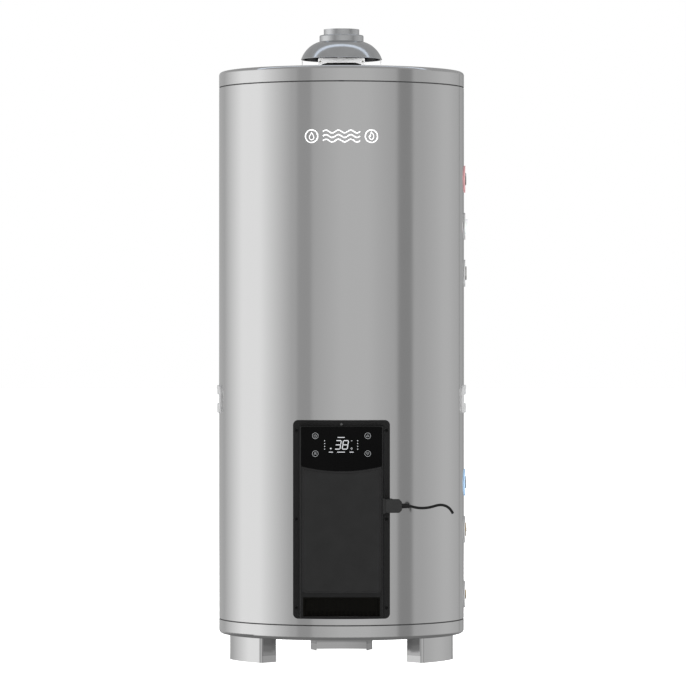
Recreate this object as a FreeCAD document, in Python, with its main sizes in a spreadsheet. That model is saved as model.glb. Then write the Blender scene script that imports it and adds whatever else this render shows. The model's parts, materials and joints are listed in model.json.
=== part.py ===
import FreeCAD, Part

import math
import os
import re

import Sketcher
from FreeCAD import Placement, Rotation, Vector

# Gas storage water heater, in millimetres. +Z is up, -Y is the front with the control box, +X is the
# side with the water and gas ports. The origin is on the tank's axis at floor level.

DRIVING = (
    # casing
    ("casing_radius", 250.0),
    ("casing_wall", 1.0),
    ("floor_gap", 50.0),
    ("lower_seam", 80.0),
    ("upper_seam", 1161.0),
    ("seam_gap", 2.5),
    ("lid_top", 1193.0),
    ("lid_round", 7.0),
    ("base_round", 7.5),
    ("base_opening_radius", 150.0),
    ("sheet_wall", 1.2),
    ("running_gap", 0.3),
    ("seam_ring_width", 16.0),
    ("seam_ring_depth", 2.5),
    # tank
    ("tank_radius", 204.0),
    ("tank_wall", 2.5),
    ("tank_bottom", 222.0),
    ("tank_top", 1094.0),
    ("head_bow", 540.0),
    ("bottom_head_crown", 278.0),
    ("top_head_crown", 1132.0),
    ("flue_radius", 38.0),
    ("flue_wall", 2.0),
    ("flue_bottom", 268.0),
    ("flue_top", 1200.0),
    ("foam_top", 1150.0),
    ("skirt_radius", 192.0),
    # draught hood
    ("rim_height", 1220.0),
    ("rim_radius", 82.0),
    ("rim_bead", 0.8),
    ("neck_radius", 45.0),
    ("dome_arc_ring", 30.6),
    ("dome_arc_radius", 54.6),
    ("dome_arc_height", 1203.3),
    ("dome_arc_start", 18.0),
    ("dome_arc_end", 75.0),
    ("shoulder_height", 1269.0),
    ("spigot_radius", 36.2),
    ("hood_top", 1281.0),
    ("hood_wall", 1.0),
    ("bridge_width", 95.0),
    ("bridge_plane", 66.0),
    ("bridge_top", 1218.9),
    ("bridge_opening_width", 79.0),
    ("bridge_opening_height", 13.0),
    ("bridge_slope_width", 56.0),
    ("bridge_slope_height", 3.2),
    ("bridge_tongue_width", 18.0),
    ("bridge_tongue_top", 1242.6),
    ("hood_leg_place", 80.7),
    ("hood_leg_width", 14.0),
    # ports on the +X side
    ("hot_port", 975.6),
    ("relief_port", 879.4),
    ("spare_port", 783.6),
    ("cold_port", 356.7),
    ("drain_port", 260.5),
    ("gas_port", 128.3),
    ("nipple_radius", 13.2),
    ("nipple_bore", 10.2),
    ("nipple_root", 196.0),
    ("nipple_reach", 254.5),
    ("gas_nipple_radius", 10.5),
    ("gas_nipple_bore", 7.5),
    ("rosette_radius", 27.5),
    ("rosette_cup_radius", 23.0),
    ("rosette_cup_depth", 13.0),
    ("rosette_proud", 2.8),
    ("plastic_wall", 1.5),
    # carry handles
    ("handle_height", 527.0),
    ("handle_rim_tall", 56.0),
    ("handle_rim_wide", 120.0),
    ("handle_slot_tall", 18.0),
    ("handle_slot_wide", 96.0),
    ("handle_depth", 24.0),
    ("handle_rise", 12.0),
    ("handle_proud", 4.0),
    ("handle_wall", 2.5),
    # feet
    ("foot_radius", 234.0),
    ("foot_inner_radius", 191.0),
    ("foot_half_angle", 16.5),
    ("foot_wall", 2.5),
    ("foot_bend", 6.0),
    ("foot_bolt_radius", 3.0),
    ("foot_bolt_ring", 212.0),
    # control box
    ("flange_half_width", 96.3),
    ("flange_low", 93.5),
    ("flange_high", 488.0),
    ("flange_corner", 10.0),
    ("flange_seat", 250.2),
    ("flange_face", 253.8),
    ("box_half_width", 81.5),
    ("box_low", 96.5),
    ("box_high", 476.5),
    ("box_front", 260.0),
    ("box_back", 200.0),
    ("box_back_half_width", 89.7),
    ("box_back_low", 93.5),
    ("box_back_high", 481.3),
    ("box_wall", 2.5),
    ("screw_place", 89.0),
    ("screw_head_radius", 3.2),
    ("glass_half_width", 80.3),
    ("glass_top", 474.8),
    ("glass_middle_bottom", 387.7),
    ("glass_bow", 330.6),
    ("glass_wall", 2.6),
    ("cover_half_width", 79.0),
    ("cover_low", 145.5),
    ("cover_gap", 1.0),
    ("cover_wall", 1.8),
    ("cover_pad_wall", 1.0),
    ("cover_pad_inset", 3.3),
    ("cover_pad_top_inset", 5.7),
    ("cover_corner", 9.0),
    ("grille_low", 99.5),
    ("grille_high", 137.0),
    ("grille_half_width", 76.0),
    ("grille_pitch", 8.6),
    ("grille_slot_width", 4.2),
    ("grille_slot_tall", 10.0),
    ("status_light_height", 479.6),
    # power connector
    ("plug_height", 317.8),
    ("plug_middle_depth", 249.3),
    ("plug_tall", 27.0),
    ("plug_deep", 17.0),
    ("plug_start", 86.7),
    ("plug_end", 120.0),
    ("plug_chamfer", 5.5),
    ("plug_nose_tall", 21.0),
    ("plug_nose_deep", 11.4),
    ("plug_nose_long", 16.0),
    ("relief_end", 135.0),
    ("relief_radius", 4.9),
    ("cord_radius", 2.65),
    # burner and gas train
    ("burner_radius", 78.0),
    ("burner_low", 100.0),
    ("burner_high", 136.0),
    ("mixer_height", 112.0),
    ("mixer_radius", 16.0),
    ("mixer_mouth", 200.0),
    ("gas_pipe_ring", 220.0),
    ("gas_pipe_radius", 6.0),
    ("plunger_radius", 6.0),
)

PORT_HEIGHTS = ("hot_port", "relief_port", "spare_port", "cold_port", "drain_port")

doc = FreeCAD.newDocument("tank_water_heater")
sheet = doc.addObject("Spreadsheet::Sheet", "dims")
for row, (alias, number) in enumerate(DRIVING, start=1):
    sheet.set(f"A{row}", alias)
    sheet.set(f"B{row}", str(number))
    sheet.setAlias(f"B{row}", alias)
doc.recompute()

ALIASES = {alias for alias, number in DRIVING}
WORD = re.compile(r"[a-z][a-z_]+")
NODES = []


def size(alias):
    """Read one driving dimension from the sheet."""
    return float(sheet.get(alias))


def formula(text):
    """Write a formula of sheet names as an expression of the document."""
    return WORD.sub(lambda word: "dims." + word[0] if word[0] in ALIASES else word[0], str(text))


def bind(obj, prop, text):
    obj.setExpression(prop, formula(text))


def node(obj, name):
    """Give a finished sub-part its label and list it."""
    obj.Label = name
    NODES.append(obj)
    return obj


# ---------------------------------------------------------------- building blocks

TURNS = {
    "x": Rotation(Vector(0, 1, 0), 90),
    "y": Rotation(Vector(1, 0, 0), -90),
    "z": Rotation(),
}


def about_z(degrees):
    return Rotation(Vector(0, 0, 1), degrees)


def place(obj, at, turn):
    obj.Placement = Placement(Vector(), turn)
    for axis, text in zip("xyz", at):
        bind(obj, f"Placement.Base.{axis}", text)
    return obj


def box(name, low, high, turn=TURNS["z"]):
    """A block between two corners, each a triple of formulas."""
    obj = doc.addObject("Part::Box", name)
    for prop, start, end in zip(("Length", "Width", "Height"), low, high):
        bind(obj, prop, f"({end}) - ({start})")
    return place(obj, low, turn)


def taper(name, start, end, turn=TURNS["z"]):
    """A block whose ends differ; each end gives its Y, then its X and Z limits, before the turn."""
    obj = doc.addObject("Part::Wedge", name)
    for props, limits in ((("Ymin", "Xmin", "Xmax", "Zmin", "Zmax"), start),
                          (("Ymax", "X2min", "X2max", "Z2min", "Z2max"), end)):
        for prop, limit in zip(props, limits):
            bind(obj, prop, limit)
    obj.Placement = Placement(Vector(), turn)
    return obj


def rod(name, radius, start, end, centre=("0", "0"), along="z"):
    """A cylinder from start to end along one axis; centre holds its other two coordinates in order."""
    obj = doc.addObject("Part::Cylinder", name)
    bind(obj, "Radius", radius)
    bind(obj, "Height", f"({end}) - ({start})")
    at = list(centre)
    at.insert("xyz".index(along), start)
    return place(obj, at, TURNS[along])


def cone(name, radius_start, radius_end, start, end, centre=("0", "0"), along="z"):
    obj = doc.addObject("Part::Cone", name)
    bind(obj, "Radius1", radius_start)
    bind(obj, "Radius2", radius_end)
    bind(obj, "Height", f"({end}) - ({start})")
    at = list(centre)
    at.insert("xyz".index(along), start)
    return place(obj, at, TURNS[along])


def ball(name, radius, at):
    obj = doc.addObject("Part::Sphere", name)
    bind(obj, "Radius", radius)
    return place(obj, at, TURNS["z"])


def fuse(name, *pieces):
    obj = doc.addObject("Part::MultiFuse", name)
    obj.Shapes = list(pieces)
    return obj


def group(name, *pieces):
    """Separate solids kept together as one object."""
    obj = doc.addObject("Part::Compound", name)
    obj.Links = list(pieces)
    return obj


def cut(name, base, *tools):
    obj = doc.addObject("Part::Cut", name)
    obj.Base = base
    obj.Tool = tools[0] if len(tools) == 1 else fuse(name + "_tools", *tools)
    return obj


def common(name, first, second):
    obj = doc.addObject("Part::Common", name)
    obj.Base = first
    obj.Tool = second
    return obj


def tube(name, outer, inner, start, end, centre=("0", "0"), along="z"):
    wall = rod(name + "_wall", outer, start, end, centre, along)
    bore = rod(name + "_bore", inner, start, end, centre, along)
    return cut(name, wall, bore)


def rounded(name, base, radius, pick):
    """Round the edges of a Part object that pick accepts."""
    doc.recompute()
    obj = doc.addObject("Part::Fillet", name)
    obj.Base = base
    edges = enumerate(base.Shape.Edges, start=1)
    obj.Edges = [(index, radius, radius) for index, edge in edges if pick(edge)]
    return obj


def runs_along(axis, length_over=0.0):
    """Pick straight edges that lie along one axis."""
    direction = Vector(*(1.0 if name == axis else 0.0 for name in "xyz"))

    def pick(edge):
        if not isinstance(edge.Curve, (Part.Line, Part.LineSegment)):
            return False
        return edge.Length > length_over and abs(abs(edge.Curve.Direction.dot(direction)) - 1) < 1e-6

    return pick


def runs_back(edge):
    """Pick the edges that run from the front towards the tank, square to the front or sloping."""
    return abs(edge.Vertexes[0].Y - edge.Vertexes[-1].Y) > 1


def ring_edge(radius, height):
    """Pick the circular edge of one radius at one height."""

    def pick(edge):
        if not isinstance(edge.Curve, Part.Circle):
            return False
        same_radius = abs(edge.Curve.Radius - radius) < 1e-3
        return same_radius and abs(edge.Curve.Center.z - height) < 1e-3

    return pick


def in_plane_y(depth):
    """Pick the edges that lie wholly in one plane across Y."""

    def pick(edge):
        return all(abs(point.y - depth) < 1e-3 for point in edge.discretize(4))

    return pick


def outline_body(name, outline):
    """A body with a closed sketch on its XZ plane; outline holds (x, z) formulas, all positive."""
    body = doc.addObject("PartDesign::Body", name)
    plane = next(item for item in body.Origin.OriginFeatures if item.Role == "XZ_Plane")
    sketch = body.newObject("Sketcher::SketchObject", name + "_outline")
    sketch.AttachmentSupport = (plane, "")
    sketch.MapMode = "FlatFace"
    count = len(outline)
    spread = [2 * math.pi * index / count for index in range(count)]
    corners = [Vector(300 + 100 * math.cos(angle), 300 + 100 * math.sin(angle), 0) for angle in spread]
    for index in range(count):
        sketch.addGeometry(Part.LineSegment(corners[index], corners[(index + 1) % count]))
    for index in range(count):
        sketch.addConstraint(Sketcher.Constraint("Coincident", index, 2, (index + 1) % count, 1))
    for index, (across, up) in enumerate(outline):
        for kind, text in (("DistanceX", across), ("DistanceY", up)):
            number = sketch.addConstraint(Sketcher.Constraint(kind, -1, 1, index, 1, 300.0))
            bind(sketch, f"Constraints[{number}]", text)
    return body, sketch


def turned(name, outline, rounds=()):
    """A body turned about Z from an outline; rounds lists (radius name, edge radius, edge height)."""
    body, sketch = outline_body(name, outline)
    feature = body.newObject("PartDesign::Revolution", name + "_turn")
    feature.Profile = sketch
    feature.ReferenceAxis = (sketch, ["V_Axis"])
    feature.Angle = 360.0
    for index, (text, radius, height) in enumerate(rounds):
        doc.recompute()
        pick = ring_edge(radius, height)
        edges = enumerate(feature.Shape.Edges, start=1)
        names = [f"Edge{number}" for number, edge in edges if pick(edge)]
        fillet = body.newObject("PartDesign::Fillet", f"{name}_round_{index}")
        fillet.Base = (feature, names)
        bind(fillet, "Radius", text)
        feature = fillet
    body.Tip = feature
    return body


# ---------------------------------------------------------------- casing and covers

def port_holes(name, radius, start, end, heights=PORT_HEIGHTS + ("gas_port",)):
    """One cylinder along +X through each port."""
    return [rod(f"{name}_{port}", radius, start, end, ("0", port), "x") for port in heights]


def handle_holes(name, spare):
    """The openings that the two carry handles sit in, with some spare room all round."""
    low_z = f"handle_height - handle_rim_tall / 2 + 4 - {spare}"
    high_z = f"handle_height + handle_rim_tall / 2 - 4 + {spare}"
    half = f"handle_slot_wide / 2 + handle_wall + 1 + {spare}"
    depth = f"casing_radius - handle_depth - 3 - {spare}"
    right = box(name + "_right", (depth, f"-({half})", low_z), ("casing_radius + 10", half, high_z))
    left = box(name + "_left", ("-casing_radius - 10", f"-({half})", low_z), (f"-({depth})", half, high_z))
    return [left, right]


def make_outer_casing():
    low = "lower_seam + seam_gap / 2"
    high = "upper_seam - seam_gap / 2"
    shell = tube("casing_shell", "casing_radius", "casing_radius - casing_wall", low, high)
    front = box("casing_window", ("-74", "-casing_radius - 5", "flange_low + 13"), ("74", "-150", "468"))
    tools = port_holes("casing_hole", "rosette_cup_radius + 0.2", "casing_radius - 20", "casing_radius + 5")
    tools += handle_holes("casing_handle", "0")
    return node(cut("outer_casing", shell, front, *tools), "outer_casing")


def make_top_cover():
    seam = "upper_seam + seam_gap / 2"
    inner = "casing_radius - casing_wall"
    outline = [
        (inner, seam),
        ("casing_radius", seam),
        ("casing_radius", "lid_top"),
        ("flue_radius + 4", "lid_top"),
        ("flue_radius + 4", "lid_top - casing_wall"),
        (inner, "lid_top - casing_wall"),
    ]
    rounds = (
        ("lid_round", size("casing_radius"), size("lid_top")),
        (
            "lid_round - casing_wall",
            size("casing_radius") - size("casing_wall"),
            size("lid_top") - size("casing_wall"),
        ),
    )
    pressed = turned("top_cover_pressing", outline, rounds)
    access = rod("top_cover_access", "22", "lid_top - 10", "lid_top + 5", ("-100", "90"))
    return node(cut("top_cover", pressed, access), "top_cover")


def make_bottom_cover():
    seam = "lower_seam - seam_gap / 2"
    inner = "casing_radius - casing_wall"
    outline = [
        (inner, seam),
        ("casing_radius", seam),
        ("casing_radius", "floor_gap"),
        ("base_opening_radius", "floor_gap"),
        ("base_opening_radius", "floor_gap + sheet_wall"),
        (inner, "floor_gap + sheet_wall"),
    ]
    rounds = (
        ("base_round", size("casing_radius"), size("floor_gap")),
        (
            "base_round - sheet_wall",
            size("casing_radius") - size("casing_wall"),
            size("floor_gap") + size("sheet_wall"),
        ),
    )
    pressed = turned("bottom_cover_pressing", outline, rounds)
    bolts = foot_bolt_rods("bottom_cover_bolt", "foot_bolt_radius + 0.2", "floor_gap - 5", "floor_gap + 5")
    return node(cut("bottom_cover", pressed, *bolts), "bottom_cover")


def make_seam_ring(name, seam):
    outer = "casing_radius - casing_wall - running_gap"
    start = f"{seam} - seam_ring_width / 2"
    end = f"{seam} + seam_ring_width / 2"
    return tube(name, outer, f"{outer} - seam_ring_depth", start, end)


def make_lid_clip():
    low = ("-5", "-casing_radius + 0.3", "upper_seam - seam_gap / 2 + 0.15")
    high = ("5", "-casing_radius + 1.2", "upper_seam + seam_gap / 2 - 0.15")
    return node(box("lid_clip", low, high), "lid_clip")


def make_insulation():
    inner = "tank_radius + 0.4"
    wall = tube("foam_wall", "casing_radius - casing_wall - 0.4", inner, "tank_bottom", "foam_top")
    front = box("foam_front", ("-92", "-260", "tank_bottom - 1"), ("92", "-150", "500"))
    cups = port_holes("foam_cup", "rosette_cup_radius + 0.6", "casing_radius - 16", "casing_radius + 5",
                      PORT_HEIGHTS)
    pipes = port_holes("foam_pipe", "nipple_radius + 0.3", "tank_radius - 10", "casing_radius", PORT_HEIGHTS)
    foam = cut("insulation_foam", wall, front, *cups, *pipes, *handle_holes("foam_handle", "1.5"))
    node(foam, "insulation_foam")
    pad = tube("top_pad_disc", "casing_radius - 5", "flue_radius + 0.4", "foam_top + 0.2", "lid_top - 5")
    hole = rod("top_pad_access", "23", "foam_top - 5", "lid_top", ("-100", "90"))
    node(cut("top_insulation_pad", pad, hole), "top_insulation_pad")


# ---------------------------------------------------------------- tank

def make_tank_shell():
    wall = tube("tank_wall_tube", "tank_radius", "tank_radius - tank_wall", "tank_bottom", "tank_top")
    pipes = port_holes("tank_hole", "nipple_radius + 0.05", "tank_radius - 20", "tank_radius + 10",
                       PORT_HEIGHTS)
    well = rod("tank_well_hole", "5.55", "-tank_radius - 10", "-150", ("30", "395"), "y")
    return node(cut("tank_shell", wall, well, *pipes), "tank_shell")


def make_head(name, crown, extra=()):
    """A dished end: a slice of a spherical shell, with the flue's hole in the middle."""
    outer = ball(name + "_outer", "head_bow", ("0", "0", f"{crown} - head_bow"))
    inner = ball(name + "_inner", "head_bow - tank_wall", ("0", "0", f"{crown} - head_bow"))
    disc = rod(name + "_disc", "tank_radius - tank_wall - 0.05", f"{crown} - 80", f"{crown} + 5")
    flue = rod(name + "_flue", "flue_radius + 0.05", f"{crown} - 90", f"{crown} + 10")
    dish = common(name + "_dish", cut(name + "_bowl", outer, inner), disc)
    return cut(name, dish, flue, *extra)


def make_flue():
    node(tube("flue_tube", "flue_radius", "flue_radius - flue_wall", "flue_bottom", "flue_top"), "flue_tube")
    half, wall, pitch = 16.0, 1.2, 40.0
    start, turns = size("flue_bottom") + 30, 20
    front = [Vector(half if step % 2 else -half, -30, start + pitch * step) for step in range(turns + 1)]
    back = [point + Vector(wall, 0, 0) for point in reversed(front)]
    strip = Part.Face(Part.makePolygon(front + back + front[:1])).extrude(Vector(0, 60, 0))
    baffle = doc.addObject("Part::Feature", "flue_baffle")
    reach = Part.makeCylinder(size("flue_radius") - size("flue_wall") - 0.2, 1200, Vector(0, 0, 100))
    baffle.Shape = strip.common(reach)
    baffle.Placement = Placement()
    node(baffle, "flue_baffle")


def make_tank_fittings():
    diffuser = tube("diffuser_pipe", "12.5", "nipple_bore + 0.8", "flue_radius + 32", "nipple_root",
                    ("0", "cold_port"), "x")
    holes = [rod(f"diffuser_hole_{index}", "3", "cold_port - 20", "cold_port", (f"{90 + 18 * index}", "0"))
             for index in range(5)]
    node(cut("cold_diffuser", diffuser, *holes), "cold_diffuser")
    stem = rod("anode_stem", "9.9", "700", "1119", ("-100", "90"))
    head = rod("anode_head", "14", "1119", "1129", ("-100", "90"))
    node(fuse("anode_rod", stem, head), "anode_rod")
    rim = rod("anode_cap_rim", "25", "lid_top", "lid_top + 3.5", ("-100", "90"))
    sleeve = tube("anode_cap_sleeve", "21.6", "20", "lid_top - 8", "lid_top + 0.5", ("-100", "90"))
    node(fuse("anode_cap", rim, sleeve), "anode_cap")
    well = tube("well_tube", "5.5", "4.6", "-232", "-118", ("30", "395"), "y")
    tip = rod("well_tip", "5.5", "-120", "-116", ("30", "395"), "y")
    collar = tube("well_collar", "9", "5", "-214", "-206", ("30", "395"), "y")
    node(fuse("sensor_well", well, tip, collar), "sensor_well")
    node(rod("temperature_sensor", "4.5", "-238", "-125", ("30", "395"), "y"), "temperature_sensor")
    disc = rod("limit_disc", "11", "-212", "-204.3", ("-30", "395"), "y")
    tabs = [box(f"limit_tab_{x}", (f"{x} - 2.4", "-220", "394.6"), (f"{x} + 2.4", "-211", "395.4"))
            for x in (-36, -24)]
    node(fuse("limit_thermostat", disc, *tabs), "limit_thermostat")


# ---------------------------------------------------------------- ports

def make_port_nipples():
    def nipple(name, port, end):
        return tube(name, "nipple_radius", "nipple_bore", "nipple_root", end, ("0", port), "x")

    node(nipple("hot_outlet_nipple", "hot_port", "nipple_reach"), "hot_outlet_nipple")
    node(nipple("cold_inlet_nipple", "cold_port", "nipple_reach"), "cold_inlet_nipple")
    closed = [
        nipple("relief_nipple", "relief_port", "nipple_reach"),
        nipple("spare_nipple", "spare_port", "casing_radius"),
        nipple("drain_nipple", "drain_port", "casing_radius"),
    ]
    node(group("closed_port_nipples", *closed), "closed_port_nipples")
    node(tube("gas_inlet_nipple", "gas_nipple_radius", "gas_nipple_bore", "gas_pipe_ring + 9",
              "nipple_reach", ("0", "gas_port"), "x"), "gas_inlet_nipple")


def rosette(name, port, hole):
    """A lip bent to the casing round a shallow cup, which leaves room for a union nut."""
    ring = tube(name + "_ring", "casing_radius + rosette_proud", "casing_radius + 0.2",
                f"{port} - 40", f"{port} + 40")
    disc = rod(name + "_disc", "rosette_radius", "200", "casing_radius + 20", ("0", port), "x")
    lip = common(name + "_lip", ring, disc)
    cup = rod(name + "_cup", "rosette_cup_radius", "casing_radius - rosette_cup_depth",
              "casing_radius + 1", ("0", port), "x")
    hollow = rod(name + "_hollow", "rosette_cup_radius - plastic_wall",
                 "casing_radius - rosette_cup_depth + plastic_wall", "casing_radius + 20", ("0", port), "x")
    bore = rod(name + "_hole", hole, "200", "casing_radius + 20", ("0", port), "x")
    return cut(name, fuse(name + "_body", lip, cup), hollow, bore)


def make_rosettes():
    node(rosette("hot_rosette", "hot_port", "nipple_radius + 0.1"), "hot_rosette")
    node(rosette("cold_rosette", "cold_port", "nipple_radius + 0.1"), "cold_rosette")
    greys = [rosette(f"grey_{port}", port, "nipple_radius + 0.1")
             for port in ("relief_port", "spare_port", "drain_port")]
    greys.append(rosette("grey_gas_port", "gas_port", "gas_nipple_radius + 0.1"))
    node(group("grey_rosettes", *greys), "grey_rosettes")


def hexagon(name, across_corners, start, end, centre):
    """A six-sided bar along +X."""
    obj = doc.addObject("Part::Prism", name)
    obj.Polygon = 6
    bind(obj, "Circumradius", across_corners)
    bind(obj, "Height", f"({end}) - ({start})")
    return place(obj, (start, *centre), TURNS["x"])


def make_port_closures():
    at = ("0", "relief_port")
    skin = tube("cap_skin", "nipple_radius + 1.9", "nipple_radius + 0.06", "casing_radius - 8",
                "nipple_reach + 0.3", at, "x")
    end = cone("cap_end", "nipple_radius + 1.9", "nipple_radius + 1.2", "nipple_reach + 0.3",
               "casing_radius + 7", at, "x")
    node(fuse("relief_cap", skin, end), "relief_cap")

    at = ("0", "spare_port")
    shank = rod("plug_shank", "nipple_bore - 0.05", "casing_radius - 14", "casing_radius", at, "x")
    head = hexagon("plug_hexagon", "14", "casing_radius", "casing_radius + 5.2", at)
    node(fuse("spare_port_plug", shank, head), "spare_port_plug")

    at = ("0", "drain_port")
    seat = rod("drain_seat", "nipple_bore - 0.05", "casing_radius - 24", "casing_radius", at, "x")
    face = rod("drain_face", "14", "casing_radius", "casing_radius + 4", at, "x")
    bore = rod("drain_bore", "4.05", "casing_radius - 30", "casing_radius + 10", at, "x")
    node(cut("drain_valve", fuse("drain_body", seat, face), bore), "drain_valve")
    stem = rod("spindle_stem", "4", "casing_radius - 24", "casing_radius + 5.4", at, "x")
    slot = box("spindle_slot", ("casing_radius + 3.4", "-5", "drain_port - 0.6"),
               ("casing_radius + 10", "5", "drain_port + 0.6"))
    node(cut("drain_spindle", stem, slot), "drain_spindle")


# ---------------------------------------------------------------- carry handles

def make_handle(name, side):
    """A moulded cup with a flange bent to the casing; the finger space rises behind the upper lip."""
    low_z = "handle_height - handle_rim_tall / 2"
    high_z = "handle_height + handle_rim_tall / 2"
    reach = "casing_radius + 20"
    ring = tube(name + "_ring", "casing_radius + handle_proud", "casing_radius + 0.2", low_z, high_z)
    cheek = box(name + "_cheek", ("150", "-handle_rim_wide / 2", low_z),
                (reach, "handle_rim_wide / 2", high_z))
    doc.recompute()
    cheek = rounded(name + "_face", cheek, 10.0, runs_along("x"))
    flange = common(name + "_flange", ring, cheek)
    slot_low = "handle_height - handle_slot_tall / 2"
    slot_high = "handle_height + handle_slot_tall / 2"
    back = "casing_radius - handle_depth"
    half = "handle_slot_wide / 2"
    cup = box(name + "_cup", (f"{back} - handle_wall", f"-{half} - handle_wall", f"{slot_low} - handle_wall"),
              ("casing_radius - 1", f"{half} + handle_wall", f"{slot_high} + handle_rise + handle_wall"))
    mouth = box(name + "_mouth", (back, f"-{half}", slot_low), (reach, half, slot_high))
    scoop = box(name + "_scoop", (back, f"-{half}", slot_low),
                (f"{back} + 15", half, f"{slot_high} + handle_rise"))
    handle = cut(name + "_moulding", fuse(name + "_solid", flange, cup), mouth, scoop)
    turned_handle = group(name, handle)
    turned_handle.Placement = Placement(Vector(), about_z(0 if side > 0 else 180))
    return node(turned_handle, name)


# ---------------------------------------------------------------- feet

FEET = {"front_left_foot": 210.0, "front_right_foot": 330.0, "rear_foot": 90.0}


def foot_bolt_rods(name, radius, start, end):
    """Two rods for each foot."""
    rods = []
    for azimuth in FEET.values():
        for side in (-9, 9):
            angle = azimuth + side
            at = (f"foot_bolt_ring * cos({angle} * 1deg)", f"foot_bolt_ring * sin({angle} * 1deg)")
            rods.append(rod(f"{name}_{int(angle)}", radius, start, end, at))
    return rods


def sector(name, radius, start, end):
    obj = rod(name, radius, start, end)
    bind(obj, "Angle", "2 * foot_half_angle")
    obj.Placement = Placement(Vector(), about_z(-size("foot_half_angle")))
    bind(obj, "Placement.Base.z", start)
    return obj


def foot_side(name, side):
    """A radial plate at one end of the foot's arc, on the inner side of the end's radius line."""
    angle = f"{side} * foot_half_angle * 1deg"
    offset = "0" if side < 0 else "(-foot_wall)"
    inner = "foot_inner_radius"
    plate = doc.addObject("Part::Box", name)
    bind(plate, "Length", f"foot_radius - 0.05 - {inner}")
    bind(plate, "Width", "foot_wall")
    bind(plate, "Height", "floor_gap")
    plate.Placement = Placement(Vector(), about_z(side * size("foot_half_angle")))
    bind(plate, "Placement.Base.x", f"{inner} * cos({angle}) - {offset} * sin({angle})")
    bind(plate, "Placement.Base.y", f"{inner} * sin({angle}) + {offset} * cos({angle})")
    return plate


def make_foot(name, azimuth):
    """A pressed channel: a web bent to the casing's curve, two radial sides and a top plate."""
    inner = "foot_radius - foot_wall"
    web = cut(name + "_web", sector(name + "_web_out", "foot_radius", "0", "floor_gap"),
              rod(name + "_web_in", inner, "-1", "floor_gap + 1"))
    top = cut(name + "_top", sector(name + "_top_out", "foot_radius", "floor_gap - foot_wall", "floor_gap"),
              rod(name + "_top_in", "foot_inner_radius", "0", "floor_gap + 1"))
    sides = [foot_side(f"{name}_side_{index}", side) for index, side in enumerate((-1, 1))]
    channel = fuse(name + "_channel", web, top, *sides)
    doc.recompute()
    upright = runs_along("z", size("floor_gap") - 6)
    outside = size("foot_radius") - 0.2

    def bend(edge):
        return upright(edge) and math.hypot(edge.Vertexes[0].X, edge.Vertexes[0].Y) > outside

    bent = rounded(name + "_bent", channel, size("foot_bend"), bend)
    holes = [rod(f"{name}_hole_{index}", "foot_bolt_radius + 0.2", "floor_gap - 10", "floor_gap + 5",
                 (f"foot_bolt_ring * cos({angle} * 1deg)", f"foot_bolt_ring * sin({angle} * 1deg)"))
             for index, angle in enumerate((-9, 9))]
    drilled = cut(name + "_drilled", bent, *holes)
    foot = group(name, drilled)
    foot.Placement = Placement(Vector(), about_z(azimuth))
    return node(foot, name)


def make_foot_bolts():
    shanks = foot_bolt_rods("bolt_shank", "foot_bolt_radius", "floor_gap - 4", "floor_gap + 9")
    heads = foot_bolt_rods("bolt_head", "5", "floor_gap - foot_wall - 4", "floor_gap - foot_wall")
    nuts = foot_bolt_rods("bolt_nut", "5.5", "floor_gap + sheet_wall", "floor_gap + sheet_wall + 5")
    bolts = [fuse(f"foot_bolt_{index}", *parts) for index, parts in enumerate(zip(shanks, heads, nuts))]
    node(group("foot_bolts", *bolts), "foot_bolts")


# ---------------------------------------------------------------- draught hood

def dome_sector(name, arc_radius):
    """The sector between the dome's two arc angles, turned about Z at the arc centre's radius."""
    sector = doc.addObject("Part::Torus", name)
    bind(sector, "Radius1", "dome_arc_ring")
    bind(sector, "Radius2", arc_radius)
    bind(sector, "Angle1", "-dome_arc_end")
    bind(sector, "Angle2", "-dome_arc_start")
    return place(sector, ("0", "0", "dome_arc_height"), TURNS["z"])


def make_hood():
    bowl = cut("dome_bowl", dome_sector("dome_outer", "dome_arc_radius"),
               dome_sector("dome_inner", "dome_arc_radius - hood_wall"))
    bead = doc.addObject("Part::Torus", "dome_bead")
    bind(bead, "Radius1", "rim_radius")
    bind(bead, "Radius2", "rim_bead")
    place(bead, ("0", "0", "rim_height"), TURNS["z"])
    crown = "dome_arc_height + dome_arc_radius * sin(dome_arc_end * 1deg)"
    ledge = tube("dome_ledge", "neck_radius - 0.3", "neck_radius - 2", f"{crown} - hood_wall", crown)
    neck = tube("dome_neck", "neck_radius - 1", "neck_radius - 2", f"{crown} - hood_wall", f"{crown} + 7")
    node(fuse("hood_dome", bowl, bead, ledge, neck), "hood_dome")

    outline = [
        ("neck_radius - 0.9", crown),
        ("neck_radius", crown),
        ("neck_radius", "shoulder_height"),
        ("spigot_radius", "shoulder_height"),
        ("spigot_radius", "hood_top"),
        ("spigot_radius - 0.9", "hood_top"),
        ("spigot_radius - 0.9", "shoulder_height - 0.9"),
        ("neck_radius - 0.9", "shoulder_height - 0.9"),
    ]
    rounds = (("2.5", size("neck_radius"), size("shoulder_height")),)
    node(turned("hood_collar", outline, rounds), "hood_collar")


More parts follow.
